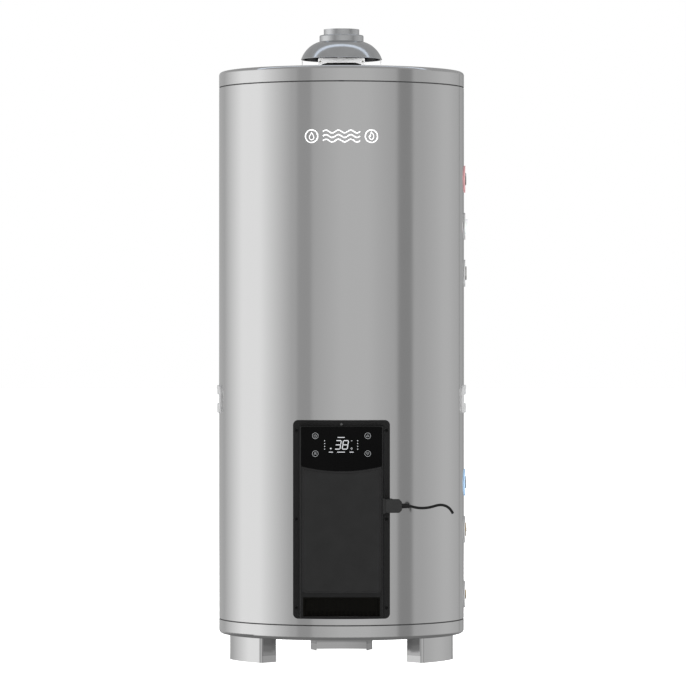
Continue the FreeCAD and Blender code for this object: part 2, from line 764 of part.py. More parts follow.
def make_hood_bridge():
    half = "bridge_width / 2"
    plate = box("bridge_plate", (f"-{half}", "-bridge_plane", "lid_top"),
                (half, "-bridge_plane + hood_wall", "bridge_top"))
    doc.recompute()
    high = size("bridge_top") - 1

    def upper_corner(edge):
        return runs_along("y")(edge) and edge.Vertexes[0].Z > high

    plate = rounded("bridge_rounded", plate, 4.0, upper_corner)
    opening_top = "lid_top + bridge_opening_height"
    opening = box("bridge_opening", ("-bridge_opening_width / 2", "-bridge_plane - 5", "lid_top - 1"),
                  ("bridge_opening_width / 2", "-bridge_plane + 5", opening_top))
    slope = taper("bridge_slope",
                  (opening_top, "-bridge_opening_width / 2", "bridge_opening_width / 2",
                   "bridge_plane - 5", "bridge_plane + 5"),
                  (f"{opening_top} + bridge_slope_height", "-bridge_slope_width / 2",
                   "bridge_slope_width / 2", "bridge_plane - 5", "bridge_plane + 5"),
                  Rotation(Vector(1, 0, 0), 90))
    tongue = box("bridge_tongue", ("-bridge_tongue_width / 2", "-bridge_plane", "bridge_top - 1"),
                 ("bridge_tongue_width / 2", "-bridge_plane + hood_wall", "bridge_tongue_top"))
    shelf = box("bridge_foot_left", (f"-{half}", "-bridge_plane", "lid_top"),
                ("-bridge_opening_width / 2", "-bridge_plane + 14", "lid_top + hood_wall"))
    shelf_right = box("bridge_foot_right", ("bridge_opening_width / 2", "-bridge_plane", "lid_top"),
                      (half, "-bridge_plane + 14", "lid_top + hood_wall"))
    frame = cut("bridge_frame", plate, opening, slope)
    front = fuse("bridge_front", frame, tongue, shelf, shelf_right)
    rear = doc.addObject("Part::Compound", "bridge_rear")
    rear.Links = [front]
    rear.Placement = Placement(Vector(), about_z(180))
    legs = []
    for name, side in (("leg_left", -1), ("leg_right", 1)):
        inner = "hood_leg_place - hood_wall"
        low, high_x = (inner, "hood_leg_place") if side > 0 else ("-hood_leg_place", f"-({inner})")
        legs.append(box(name, (low, "-hood_leg_width / 2", "lid_top"),
                        (high_x, "hood_leg_width / 2", "rim_height + rim_bead")))
    node(group("hood_brackets", front, rear, *legs), "hood_brackets")


# ---------------------------------------------------------------- control box

def front_glass_bow(name, extra):
    """The large cylinder whose underside is the curved lower edge of the display glass."""
    return rod(name, f"glass_bow + {extra}", "-box_front - 20", "-box_front + 20",
               ("0", "glass_middle_bottom + glass_bow"), "y")


def make_control_frame():
    ring = tube("flange_ring", "flange_face", "flange_seat", "flange_low", "flange_high")
    sheet_cut = box("flange_sheet", ("-flange_half_width", "-270", "flange_low"),
                    ("flange_half_width", "-200", "flange_high"))
    doc.recompute()
    sheet_cut = rounded("flange_rounded", sheet_cut, size("flange_corner"), runs_along("y"))
    flange = common("flange_plate", ring, sheet_cut)
    shell = taper("frame_shell",
                  ("-box_front", "-box_half_width", "box_half_width", "box_low", "box_high"),
                  ("-box_back", "-box_back_half_width", "box_back_half_width",
                   "box_back_low", "box_back_high"))
    doc.recompute()
    shell = rounded("frame_shell_rounded", shell, 4.0, runs_back)
    doc.recompute()
    shell = rounded("frame_shell_front", shell, 1.5, in_plane_y(-size("box_front")))
    inner = box("frame_inner", ("-box_half_width + box_wall", "-box_front + box_wall", "box_low + box_wall"),
                ("box_half_width - box_wall", "-190", "box_high - box_wall"))
    casing = rod("frame_casing", "flange_seat", "0", "600")
    display = box("frame_display", ("-66", "-270", "404"), ("66", "-250", "466"))
    service = box("frame_service", ("-70", "-270", "152"), ("70", "-250", "380"))
    grille = box("frame_grille", ("-grille_half_width - 0.4", "-270", "grille_low - 0.4"),
                 ("grille_half_width + 0.4", "-250", "grille_high + 0.4"))
    deep = "plug_nose_deep / 2 + 1.9"
    tall = "plug_nose_tall / 2 + 4.4"
    socket = box("frame_socket",
                 ("box_half_width - 5", f"-plug_middle_depth - ({deep})", f"plug_height - ({tall})"),
                 ("box_half_width + 20", f"-plug_middle_depth + {deep}", f"plug_height + {tall}"))
    light = rod("frame_light", "2.4", "-270", "-240", ("0", "status_light_height"), "y")
    screws = screw_rods("frame_screw_hole", "screw_head_radius + 0.4", "flange_seat - 5", "flange_face + 5")
    body = fuse("frame_body", flange, shell)
    node(cut("control_frame", body, inner, casing, display, service, grille, socket, light, *screws),
         "control_frame")


def screw_rods(name, radius, start, end):
    """Six rods that point at the tank's axis, three down each side of the flange."""
    rods = []
    for side in (-1, 1):
        for index, height in enumerate((467.4, 291.5, 115.1)):
            screw = doc.addObject("Part::Cylinder", f"{name}_{index}_{'left' if side < 0 else 'right'}")
            bind(screw, "Radius", radius)
            bind(screw, "Height", f"({end}) - ({start})")
            lean = math.degrees(math.asin(size("screw_place") / size("flange_face")))
            turn = about_z(side * lean).multiply(Rotation(Vector(1, 0, 0), 90))
            screw.Placement = Placement(Vector(), turn)
            bind(screw, "Placement.Base.x", f"{side} * ({start}) * screw_place / flange_face")
            bind(screw, "Placement.Base.y", f"-({start}) * sqrt(1 - (screw_place / flange_face)^2)")
            bind(screw, "Placement.Base.z", f"{height}")
            rods.append(screw)
    return rods


def make_frame_trim():
    screws = screw_rods("flange_screw", "screw_head_radius", "flange_seat + 0.3", "flange_face - 0.8")
    sockets = screw_rods("flange_socket", "1.4", "flange_face - 1.8", "flange_face + 1")
    heads = [cut(f"screw_{index}", *pair) for index, pair in enumerate(zip(screws, sockets))]
    node(group("frame_screws", *heads), "frame_screws")
    light = rod("status_light", "2.2", "-flange_face - 0.5", "-flange_seat - 0.4",
                ("0", "status_light_height"), "y")
    node(light, "status_light")


def make_display():
    pane = box("glass_pane",
               ("-glass_half_width", "-box_front - glass_wall - 0.2", "glass_middle_bottom - 5"),
               ("glass_half_width", "-box_front - 0.2", "glass_top"))
    doc.recompute()
    upper = size("glass_top") - 1

    def top_corner(edge):
        return runs_along("y")(edge) and edge.Vertexes[0].Z > upper

    pane = rounded("glass_rounded", pane, 3.0, top_corner)
    node(common("display_glass", pane, front_glass_bow("glass_edge", "0")), "display_glass")
    board = box("display_pcb", ("-58", "-257.2", "408"), ("58", "-255.6", "462"))
    module = box("display_module", ("-22", "-259.6", "424"), ("20", "-257.0", "452"))
    pads = [rod(f"display_pad_{x}_{z}", "4.5", "-259.8", "-257.0", (f"{x}", f"{z}"), "y")
            for x in (-51.9, 51.9) for z in (457.2, 421.9)]
    node(fuse("display_board", board, module, *pads), "display_board")


def make_control_board():
    board = box("control_pcb", ("-60", "-249", "200"), ("50", "-247.4", "370"))
    blocks = (
        ("transformer", (-55, 325, 30, 32, 8)),
        ("relay_one", (-15, 330, 20, 16, 8)),
        ("relay_two", (12, 330, 20, 16, 8)),
        ("spark_unit", (-54, 215, 40, 30, 8)),
        ("connector_row", (-5, 206, 48, 8, 7)),
        ("controller_chip", (-10, 270, 16, 16, 2)),
    )
    parts = [box(name, (f"{x}", f"-249 - {deep}", f"{z}"), (f"{x + wide}", "-248.8", f"{z + tall}"))
             for name, (x, z, wide, tall, deep) in blocks]
    cans = [rod(f"capacitor_{index}", "5", "-256", "-248.8", (f"{-48 + 13 * index}", "300"), "y")
            for index in range(3)]
    node(fuse("control_board", board, *parts, *cans), "control_board")


def make_service_cover():
    back = "-box_front - 0.2"
    face = f"{back} - cover_wall"
    base = box("cover_base", ("-cover_half_width", face, "cover_low"), ("cover_half_width", back, "420"))
    pad = box("cover_pad", ("-cover_half_width + cover_pad_inset", f"{face} - cover_pad_wall",
                            "cover_low + cover_pad_inset"),
              ("cover_half_width - cover_pad_inset", f"{face} + 0.1", "420"))
    doc.recompute()

    def low_corner(edge):
        return runs_along("y")(edge) and edge.Vertexes[0].Z < 200

    base = rounded("cover_base_rounded", base, size("cover_corner"), low_corner)
    pad = rounded("cover_pad_rounded", pad, size("cover_corner") - 2, low_corner)
    base = cut("cover_base_cut", base, front_glass_bow("cover_edge", "cover_gap"))
    pad = cut("cover_pad_cut", pad, front_glass_bow("cover_pad_edge", "cover_pad_top_inset"))
    hooks = [box(f"cover_hook_{x}_{z}", (f"{x - 1.5}", f"{back} - 0.1", f"{z - 8}"),
                 (f"{x + 1.5}", "-253", f"{z + 8}")) for x in (-60, 60) for z in (190, 350)]
    node(fuse("service_cover", base, pad, *hooks), "service_cover")


def make_air_grille():
    """A sunk panel with upright ribs and a row of slots along its foot."""
    half = "grille_half_width"
    frame_box = box("grille_rim", (f"-{half}", "-259.8", "grille_low"), (half, "-253.5", "grille_high"))
    sunk = box("grille_sunk", (f"-{half} + 2", "-270", "grille_low - 5"),
               (f"{half} - 2", "-255", "grille_high - 2"))
    panel = cut("grille_panel", frame_box, sunk)
    ribs = []
    slots = []
    for index in range(16):
        across = f"({index} - 7.5) * grille_pitch"
        slots.append(box(f"grille_slot_{index}",
                         (f"{across} - grille_slot_width / 2", "-270", "grille_low + 1"),
                         (f"{across} + grille_slot_width / 2", "-240", "grille_low + grille_slot_tall")))
    for index in range(17):
        across = f"({index} - 8) * grille_pitch"
        ribs.append(box(f"grille_rib_{index}", (f"{across} - 0.6", "-258", "grille_low"),
                        (f"{across} + 0.6", "-254.5", "grille_high - 1")))
    node(fuse("air_grille", cut("grille_slotted", panel, *slots), *ribs), "air_grille")


# ---------------------------------------------------------------- power connector and cord

def make_power_inlet():
    half_deep = "plug_nose_deep / 2 + 0.3"
    half_tall = "plug_nose_tall / 2 + 0.3"
    deep = f"{half_deep} + 1.4"
    tall = f"{half_tall} + 3.9"
    start = "plug_start - plug_nose_long"
    shell = box("inlet_shell", (f"{start} - 6", f"-plug_middle_depth - ({deep})", f"plug_height - ({tall})"),
                ("plug_start - 0.4", f"-plug_middle_depth + {deep}", f"plug_height + {tall}"))
    hollow = box("inlet_hollow",
                 (f"{start} - 1", f"-plug_middle_depth - ({half_deep})", f"plug_height - ({half_tall})"),
                 ("plug_start + 5", f"-plug_middle_depth + {half_deep}", f"plug_height + {half_tall}"))
    pins = [box(f"inlet_pin_{index}", (f"{start} - 3", "-plug_middle_depth - 1", f"plug_height + {z} - 2"),
                ("plug_start - 4", "-plug_middle_depth + 1", f"plug_height + {z} + 2"))
            for index, z in enumerate((-7, 0, 7))]
    node(fuse("power_inlet", cut("inlet_case", shell, hollow), *pins), "power_inlet")


def make_power_connector():
    half_deep = "plug_deep / 2"
    half_tall = "plug_tall / 2"
    grip = box("plug_grip", ("plug_start", f"-plug_middle_depth - {half_deep}", f"plug_height - {half_tall}"),
               ("plug_end", f"-plug_middle_depth + {half_deep}", f"plug_height + {half_tall}"))
    far = size("plug_end") - 1
    doc.recompute()
    bevel = doc.addObject("Part::Chamfer", "plug_bevel")
    bevel.Base = grip
    slope = size("plug_chamfer")
    bevel.Edges = [(index, slope, slope) for index, edge in enumerate(grip.Shape.Edges, start=1)
                   if runs_along("y")(edge) and edge.Vertexes[0].X > far]
    doc.recompute()
    softened = rounded("plug_soft", bevel, 1.2, runs_along("x"))
    deep = "plug_nose_deep / 2"
    tall = "plug_nose_tall / 2"
    nose = box("plug_nose",
               ("plug_start - plug_nose_long", f"-plug_middle_depth - {deep}", f"plug_height - {tall}"),
               ("plug_start + 1", f"-plug_middle_depth + {deep}", f"plug_height + {tall}"))
    slots = [box(f"plug_slot_{index}", ("plug_start - plug_nose_long - 1", "-plug_middle_depth - 1.4",
                                        f"plug_height + {z} - 2.4"),
                 ("plug_start - 3.5", "-plug_middle_depth + 1.4", f"plug_height + {z} + 2.4"))
             for index, z in enumerate((-7, 0, 7))]
    node(cut("power_connector", fuse("plug_body", softened, nose), *slots), "power_connector")
    at = ("-plug_middle_depth", "plug_height")
    boot = cone("relief_boot", "relief_radius + 0.2", "relief_radius - 0.3", "plug_end", "relief_end",
                at, "x")
    bore = rod("relief_bore", "1.2", "plug_end - 1", "relief_end + 1", at, "x")
    mouth = rod("relief_mouth", "cord_radius + 0.15", "relief_end - 1", "relief_end + 1", at, "x")
    node(cut("strain_relief", boot, bore, mouth), "strain_relief")


# The cord's route in X and Z and its slow drift in Y, from the strain relief's end to the cut end.
CORD_ROUTE = (
    (135.0, -249.3, 317.8),
    (147.0, -249.0, 314.4),
    (161.0, -248.4, 313.2),
    (176.0, -247.2, 314.9),
    (191.0, -245.6, 319.4),
    (200.5, -244.6, 319.8),
    (209.5, -243.6, 316.8),
    (217.0, -242.8, 310.5),
    (221.3, -242.2, 302.5),
)


def make_cord():
    """Straight runs joined by tangent arcs, swept with a round section."""
    points = [Vector(*point) for point in CORD_ROUTE]
    edges = []
    here = points[0]
    for before, corner, after in zip(points, points[1:], points[2:]):
        back = (before - corner)
        ahead = (after - corner)
        run = 0.45 * min(back.Length, ahead.Length)
        half_turn = (math.pi - back.getAngle(ahead)) / 2
        back.normalize()
        ahead.normalize()
        start = corner + back * run
        end = corner + ahead * run
        radius = run / math.tan(half_turn)
        inward = back + ahead
        inward.normalize()
        middle = corner + inward * (radius / math.cos(half_turn) - radius)
        edges.append(Part.LineSegment(here, start).toShape())
        edges.append(Part.Arc(start, middle, end).toShape())
        print(f"cord bend radius {radius:.1f}")
        here = end
    edges.append(Part.LineSegment(here, points[-1]).toShape())
    path = Part.Wire(edges)
    radius = size("cord_radius")
    first = (points[1] - points[0]).normalize()
    section = Part.Wire([Part.Circle(points[0], first, radius).toShape()])
    cord = doc.addObject("Part::Feature", "power_cord")
    cord.Shape = path.makePipeShell([section], True, False)
    cord.Placement = Placement()
    expected = math.pi * radius ** 2 * path.Length
    print(f"cord length {path.Length:.1f}, volume {cord.Shape.Volume:.0f} of {expected:.0f}")
    node(cord, "power_cord")


# ---------------------------------------------------------------- burner and gas train

def make_chamber():
    skirt = tube("skirt_wall", "skirt_radius", "skirt_radius - sheet_wall", "floor_gap + sheet_wall",
                 "tank_bottom - 0.2")
    opening = box("skirt_opening", ("-60", "-skirt_radius - 5", "70"), ("60", "-150", "200"))
    node(cut("combustion_skirt", skirt, opening), "combustion_skirt")
    plate = rod("base_disc", "skirt_radius - sheet_wall - 0.4", "floor_gap + sheet_wall", "floor_gap + 2.4")
    slots = []
    for index in range(18):
        angle = 20 * index
        slot = box(f"base_slot_{index}", ("0", "0", "floor_gap"), ("40", "8", "floor_gap + 5"),
                   about_z(angle))
        bind(slot, "Placement.Base.x", f"70 * cos({angle} * 1deg) + 4 * sin({angle} * 1deg)")
        bind(slot, "Placement.Base.y", f"70 * sin({angle} * 1deg) - 4 * cos({angle} * 1deg)")
        slots.append(slot)
    node(cut("base_air_plate", plate, *slots), "base_air_plate")
    door = box("door_plate", ("-66", "-194.2", "64"), ("66", "-193", "208"))
    mixer = rod("door_mixer_hole", "mixer_radius + 1", "-200", "-190", ("0", "mixer_height"), "y")
    probes = [rod(f"door_probe_{x}", "4.2", "-200", "-190", (f"{x}", "146"), "y") for x in (-24, 24)]
    node(cut("burner_door", door, mixer, *probes), "burner_door")


def make_burner():
    drum = cut("burner_drum", rod("drum_outer", "burner_radius", "burner_low", "burner_high"),
               rod("drum_inner", "burner_radius - sheet_wall", "burner_low + 1.2", "burner_high - 1.2"))
    slots = []
    for index in range(24):
        angle = 15 * index
        slot = box(f"burner_slot_{index}", ("0", "0", "burner_high - 3"), ("30", "2.4", "burner_high + 2"),
                   about_z(angle))
        bind(slot, "Placement.Base.x", f"36 * cos({angle} * 1deg) + 1.2 * sin({angle} * 1deg)")
        bind(slot, "Placement.Base.y", f"36 * sin({angle} * 1deg) - 1.2 * cos({angle} * 1deg)")
        slots.append(slot)
    at = ("0", "mixer_height")
    pipe = rod("mixer_outer", "mixer_radius", "-mixer_mouth", "-50", at, "y")
    bore = rod("mixer_inner", "mixer_radius - 1.5", "-mixer_mouth - 1", "-52", at, "y")
    legs = [rod(f"burner_leg_{index}", "4", "floor_gap + 2.4", "burner_low + 0.5",
                (f"58 * cos({90 + 120 * index} * 1deg)", f"58 * sin({90 + 120 * index} * 1deg)"))
            for index in range(3)]
    node(cut("burner", fuse("burner_body", drum, pipe, *legs), bore, *slots), "burner")

    sleeve = tube("shutter_sleeve", "mixer_radius + 2", "mixer_radius + 0.06", "-mixer_mouth - 8",
                  "-mixer_mouth + 4", at, "y")
    face = tube("shutter_face", "mixer_radius + 2", "7.2", "-mixer_mouth - 9", "-mixer_mouth - 8", at, "y")
    windows = []
    for index in range(3):
        turn = f"{120 * index} * 1deg"
        centre = (f"11.5 * cos({turn})", f"mixer_height + 11.5 * sin({turn})")
        windows.append(rod(f"shutter_window_{index}", "3", "-mixer_mouth - 12", "-mixer_mouth - 5",
                           centre, "y"))
    node(cut("air_shutter", fuse("shutter_body", sleeve, face), *windows), "air_shutter")

    nozzle = rod("injector_body", "6.5", "-216", "-206", at, "y")
    tip = cone("injector_tip", "6", "2.5", "-206", "-198", at, "y")
    jet = rod("injector_jet", "0.9", "-220", "-190", at, "y")
    node(cut("gas_injector", fuse("injector_blank", nozzle, tip), jet), "gas_injector")
    riser = rod("manifold_riser", "5", "mixer_height", "150", ("0", "-228"))
    elbow = ball("manifold_elbow", "6.2", ("0", "-228", "mixer_height"))
    run = rod("manifold_run", "5", "-228", "-216", at, "y")
    manifold = fuse("burner_manifold", riser, elbow, run)

    probes = []
    for name, x in (("ignition_electrode", -24), ("flame_sensor", 24)):
        ceramic = rod(name + "_ceramic", "4", "-205", "-112", (f"{x}", "146"), "y")
        wire = rod(name + "_wire", "1.2", "-113", "-62", (f"{x}", "146"), "y")
        probes.append(fuse(name, ceramic, wire))
    node(group("burner_electrodes", *probes), "burner_electrodes")
    return manifold


def make_gas_valve(manifold):
    block = box("valve_block", ("-26", "-240", "150"), ("36", "-206", "196"))
    doc.recompute()
    block = rounded("valve_block_soft", block, 3.0, runs_along("z"))
    seat = rod("valve_seat", "plunger_radius + 0.05", "165", "200", ("0", "-223"))
    node(cut("gas_valve", block, seat), "gas_valve")
    coil = tube("coil_winding", "14", "plunger_radius + 0.3", "196", "224", ("0", "-223"))
    cap = rod("coil_cap", "14", "224", "228", ("0", "-223"))
    node(fuse("solenoid_coil", coil, cap), "solenoid_coil")
    node(rod("valve_plunger", "plunger_radius", "165", "219", ("0", "-223")), "valve_plunger")

    bend = doc.addObject("Part::Torus", "supply_bend")
    bind(bend, "Radius1", "gas_pipe_ring")
    bind(bend, "Radius2", "gas_pipe_radius")
    sweep = 83.0
    bend.Angle3 = sweep
    place(bend, ("0", "0", "gas_port"), about_z(-sweep))
    joint = ball("supply_joint", "8.8", ("gas_pipe_ring", "0", "gas_port"))
    end = (f"gas_pipe_ring * cos({sweep} * 1deg)", f"-gas_pipe_ring * sin({sweep} * 1deg)")
    elbow = ball("supply_elbow", "gas_pipe_radius + 0.6", (*end, "gas_port"))
    riser = rod("supply_riser", "gas_pipe_radius", "gas_port", "150", end)
    supply = fuse("gas_supply_pipe", bend, joint, elbow, riser)
    node(group("gas_pipes", supply, manifold), "gas_pipes")


def make_all():
    make_outer_casing()
    make_top_cover()
    make_bottom_cover()
    upper_ring = make_seam_ring("upper_seam_ring", "upper_seam")
    lower_ring = make_seam_ring("lower_seam_ring", "lower_seam")
    node(group("seam_rings", upper_ring, lower_ring), "seam_rings")
    make_lid_clip()
    make_insulation()
    make_tank_shell()
    anode_hole = rod("anode_hole", "10", "1050", "1150", ("-100", "90"))
    bottom_head = make_head("bottom_head", "bottom_head_crown")
    top_head = make_head("top_head", "top_head_crown", (anode_hole,))
    node(group("tank_heads", bottom_head, top_head), "tank_heads")
    make_flue()
    make_tank_fittings()
    make_port_nipples()
    make_rosettes()
    make_port_closures()
    make_handle("left_handle", -1)
    make_handle("right_handle", 1)
    for name, azimuth in FEET.items():
        make_foot(name, azimuth)
    make_foot_bolts()
    make_hood()
    make_hood_bridge()
    make_control_frame()
    make_frame_trim()
    make_display()
    make_control_board()
    make_service_cover()
    make_air_grille()
    make_power_inlet()
    make_power_connector()
    make_cord()
    make_chamber()
    make_gas_valve(make_burner())


def check_and_export():
    """Stop on any failed object, then write each sub-part to its own file."""
    doc.recompute()
    failed = [obj.Name for obj in doc.Objects if {"Invalid", "Error"} & set(obj.State)]
    if failed:
        raise RuntimeError("failed objects: " + ", ".join(failed))
    os.makedirs("parts", exist_ok=True)
    for obj in NODES:
        if obj.Shape.isNull() or not obj.Shape.isValid():
            raise RuntimeError(obj.Label + " has no valid shape")
    for obj in NODES:
        obj.Shape.exportStep(f"parts/{obj.Label}.step")
        print(f"{obj.Label}: {len(obj.Shape.Solids)} solid, {obj.Shape.Volume / 1000:.1f} cm3")


make_all()
check_and_export()
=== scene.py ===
"""Looks of a gas tank water heater, in metres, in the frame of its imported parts.

X runs to the right, Y away from the viewer and Z up. The control box faces -Y.
"""

import json
import math

import bmesh
import bpy
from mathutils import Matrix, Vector

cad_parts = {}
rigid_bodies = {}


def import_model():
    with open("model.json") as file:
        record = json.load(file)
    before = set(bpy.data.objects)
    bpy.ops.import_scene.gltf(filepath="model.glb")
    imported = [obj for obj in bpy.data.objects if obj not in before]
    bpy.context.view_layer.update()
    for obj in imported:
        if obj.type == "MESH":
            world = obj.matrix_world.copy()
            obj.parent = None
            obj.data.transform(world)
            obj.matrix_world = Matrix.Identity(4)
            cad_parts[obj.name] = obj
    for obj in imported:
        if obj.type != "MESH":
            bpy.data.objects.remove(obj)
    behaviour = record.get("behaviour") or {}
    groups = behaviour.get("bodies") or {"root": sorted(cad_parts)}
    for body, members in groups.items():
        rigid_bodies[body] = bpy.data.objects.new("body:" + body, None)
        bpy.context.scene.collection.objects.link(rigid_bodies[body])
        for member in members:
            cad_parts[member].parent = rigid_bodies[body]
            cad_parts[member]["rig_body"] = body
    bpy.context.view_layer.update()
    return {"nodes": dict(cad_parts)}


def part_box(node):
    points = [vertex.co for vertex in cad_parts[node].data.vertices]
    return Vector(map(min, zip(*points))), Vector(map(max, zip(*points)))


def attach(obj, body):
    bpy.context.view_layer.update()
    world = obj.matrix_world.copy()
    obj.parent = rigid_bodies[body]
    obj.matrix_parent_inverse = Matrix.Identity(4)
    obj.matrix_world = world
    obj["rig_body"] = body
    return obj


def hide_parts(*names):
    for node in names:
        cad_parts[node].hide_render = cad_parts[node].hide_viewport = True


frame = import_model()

NODES = frame["nodes"]
SLOTS = {name: obj.data.materials[0].name for name, obj in NODES.items()}
BODY_OF = {node: obj["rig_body"] for node, obj in NODES.items()}


# ---------------------------------------------------------------- camera, floor and light

def make_camera():
    data = bpy.data.cameras.new("camera")
    data.lens = 221.6
    data.sensor_width = 36.0
    data.clip_end = 60.0
    camera = bpy.data.objects.new("camera", data)
    camera.location = (0.003, -8.625, 0.641)
    camera.rotation_euler = (math.radians(90.0), 0.0, 0.0)
    bpy.context.scene.collection.objects.link(camera)
    bpy.context.scene.camera = camera


# Soft boxes and dark flags that stand round the heater: the middle, in degrees from the viewer towards +X,
# the width and the soft edge in degrees, and the brightness. The studio wall shows between them.
WALL = 0.45
BOXES = ((-95, 60, 36, 0.95), (-35, 14, 3, 0.35), (12, 50, 26, 0.55), (62, 16, 3, 0.28),
         (115, 40, 30, 0.55), (158, 24, 3, 0.3))


def grey(level):
    return (level, level, level)


def fill_ramp(ramp, stops):
    """Give a colour ramp its stops of (place, colour), in rising order."""
    elements = ramp.color_ramp.elements
    elements.remove(elements[1])
    elements[0].position = stops[0][0]
    elements[0].color = (*stops[0][1], 1.0)
    for at, shade in stops[1:]:
        elements.new(at).color = (*shade, 1.0)


def make_world():
    world = bpy.data.worlds.new("studio")
    bpy.context.scene.world = world
    world.use_nodes = True
    tree = world.node_tree
    tree.nodes.clear()
    link = tree.links.new

    def add(kind, **settings):
        made = tree.nodes.new(kind)
        for name, value in settings.items():
            setattr(made, name, value)
        return made

    place = add("ShaderNodeTexCoord")
    split = add("ShaderNodeSeparateXYZ")
    link(place.outputs["Generated"], split.inputs[0])
    ahead = add("ShaderNodeMath", operation="MULTIPLY")
    ahead.inputs[1].default_value = -1.0
    link(split.outputs["Y"], ahead.inputs[0])
    compass = add("ShaderNodeMath", operation="ARCTAN2")
    link(split.outputs["X"], compass.inputs[0])
    link(ahead.outputs[0], compass.inputs[1])
    turn = add("ShaderNodeMapRange")
    turn.inputs["From Min"].default_value = -math.pi
    turn.inputs["From Max"].default_value = math.pi
    link(compass.outputs[0], turn.inputs["Value"])
    ramp = add("ShaderNodeValToRGB")
    stops = [(-180, WALL)]
    for middle, width, edge, level in BOXES:
        inner, outer = (width - edge) / 2, (width + edge) / 2
        stops += [(middle - outer, WALL), (middle - inner, level), (middle + inner, level),
                  (middle + outer, WALL)]
    fill_ramp(ramp, [((degrees + 180.0) / 360.0, grey(level)) for degrees, level in stops])
    link(turn.outputs["Result"], ramp.inputs["Fac"])

    # the ceiling is even, with one cool strip light across it from side to side, and it is dim below
    rise = add("ShaderNodeMapRange", interpolation_type="SMOOTHSTEP")
    rise.inputs["From Min"].default_value = 0.12
    rise.inputs["From Max"].default_value = 0.4
    link(split.outputs["Z"], rise.inputs["Value"])
    ceiling = add("ShaderNodeMix", data_type="RGBA")
    ceiling.inputs["B"].default_value = (0.37, 0.37, 0.37, 1.0)
    link(rise.outputs["Result"], ceiling.inputs["Factor"])
    link(ramp.outputs["Color"], ceiling.inputs["A"])
    # the strip's middle leans back as it climbs, and it widens towards the zenith
    middle = add("ShaderNodeMapRange", clamp=False)
    reach = add("ShaderNodeMapRange", clamp=False)
    for made, at_side, overhead in ((middle, 0.01, 0.236), (reach, 0.07, 0.15)):
        for socket, number in zip(("From Min", "From Max", "To Min", "To Max"),
                                  (0.5, 0.974, at_side, overhead)):
            made.inputs[socket].default_value = number
        link(split.outputs["Z"], made.inputs["Value"])
    offset = add("ShaderNodeMath", operation="SUBTRACT")
    link(split.outputs["Y"], offset.inputs[0])
    link(middle.outputs["Result"], offset.inputs[1])
    distance = add("ShaderNodeMath", operation="ABSOLUTE")
    link(offset.outputs[0], distance.inputs[0])
    share = add("ShaderNodeMath", operation="DIVIDE")
    link(distance.outputs[0], share.inputs[0])
    link(reach.outputs["Result"], share.inputs[1])
    across = add("ShaderNodeMapRange", interpolation_type="SMOOTHSTEP")
    across.inputs["From Min"].default_value = 1.3
    across.inputs["From Max"].default_value = 0.5
    link(share.outputs[0], across.inputs["Value"])
    above = add("ShaderNodeMapRange", interpolation_type="SMOOTHSTEP")
    above.inputs["From Min"].default_value = 0.3
    above.inputs["From Max"].default_value = 0.45
    link(split.outputs["Z"], above.inputs["Value"])
    strip_share = add("ShaderNodeMath", operation="MULTIPLY")
    link(across.outputs["Result"], strip_share.inputs[0])
    link(above.outputs["Result"], strip_share.inputs[1])
    strip = add("ShaderNodeMix", data_type="RGBA")
    strip.inputs["B"].default_value = (0.9, 0.98, 1.1, 1.0)
    link(strip_share.outputs[0], strip.inputs["Factor"])
    link(ceiling.outputs["Result"], strip.inputs["A"])

    studio = add("ShaderNodeBackground")
    sink = add("ShaderNodeMapRange", interpolation_type="SMOOTHSTEP")
    sink.inputs["From Min"].default_value = -0.12
    sink.inputs["From Max"].default_value = -0.4
    link(split.outputs["Z"], sink.inputs["Value"])
    low = add("ShaderNodeMix", data_type="RGBA")
    low.inputs["B"].default_value = (0.19, 0.19, 0.19, 1.0)
    link(sink.outputs["Result"], low.inputs["Factor"])
    link(strip.outputs["Result"], low.inputs["A"])
    link(low.outputs["Result"], studio.inputs["Color"])
    backdrop = add("ShaderNodeBackground")
    backdrop.inputs["Color"].default_value = (1.0, 1.0, 1.0, 1.0)
    seen = add("ShaderNodeLightPath")
    choose = add("ShaderNodeMixShader")
    link(seen.outputs["Is Camera Ray"], choose.inputs[0])
    link(studio.outputs[0], choose.inputs[1])
    link(backdrop.outputs[0], choose.inputs[2])
    out = add("ShaderNodeOutputWorld")
    link(choose.outputs[0], out.inputs["Surface"])


def make_lamp(name, at, aim, width, height, power):
    """A soft box that lights what is matt; the studio itself gives the gloss its reflections."""
    data = bpy.data.lights.new(name, "AREA")
    data.shape = "RECTANGLE"
    data.size, data.size_y = width, height
    data.energy = power
    lamp = bpy.data.objects.new(name, data)
    lamp.location = at
    lamp.rotation_euler = (Vector(aim) - Vector(at)).to_track_quat("-Z", "Y").to_euler()
    lamp.visible_glossy = False
    lamp.visible_camera = False
    bpy.context.scene.collection.objects.link(lamp)


def make_floor():
    mesh = bpy.data.meshes.new("floor")
    mesh.from_pydata([(-30, -8, 0), (30, -8, 0), (30, 50, 0), (-30, 50, 0)], [], [(0, 1, 2, 3)])
    floor = bpy.data.objects.new("floor", mesh)
    bpy.context.scene.collection.objects.link(floor)
    material = bpy.data.materials.new("floor_white")
    material.use_nodes = True
    shader = material.node_tree.nodes["Principled BSDF"]
    shader.inputs["Base Color"].default_value = (0.9, 0.9, 0.9, 1.0)
    shader.inputs["Roughness"].default_value = 0.9
    shader.inputs["Specular IOR Level"].default_value = 0.0
    shader.inputs["Emission Color"].default_value = (1.0, 1.0, 1.0, 1.0)
    shader.inputs["Emission Strength"].default_value = 1.0
    mesh.materials.append(material)
    floor.visible_glossy = False


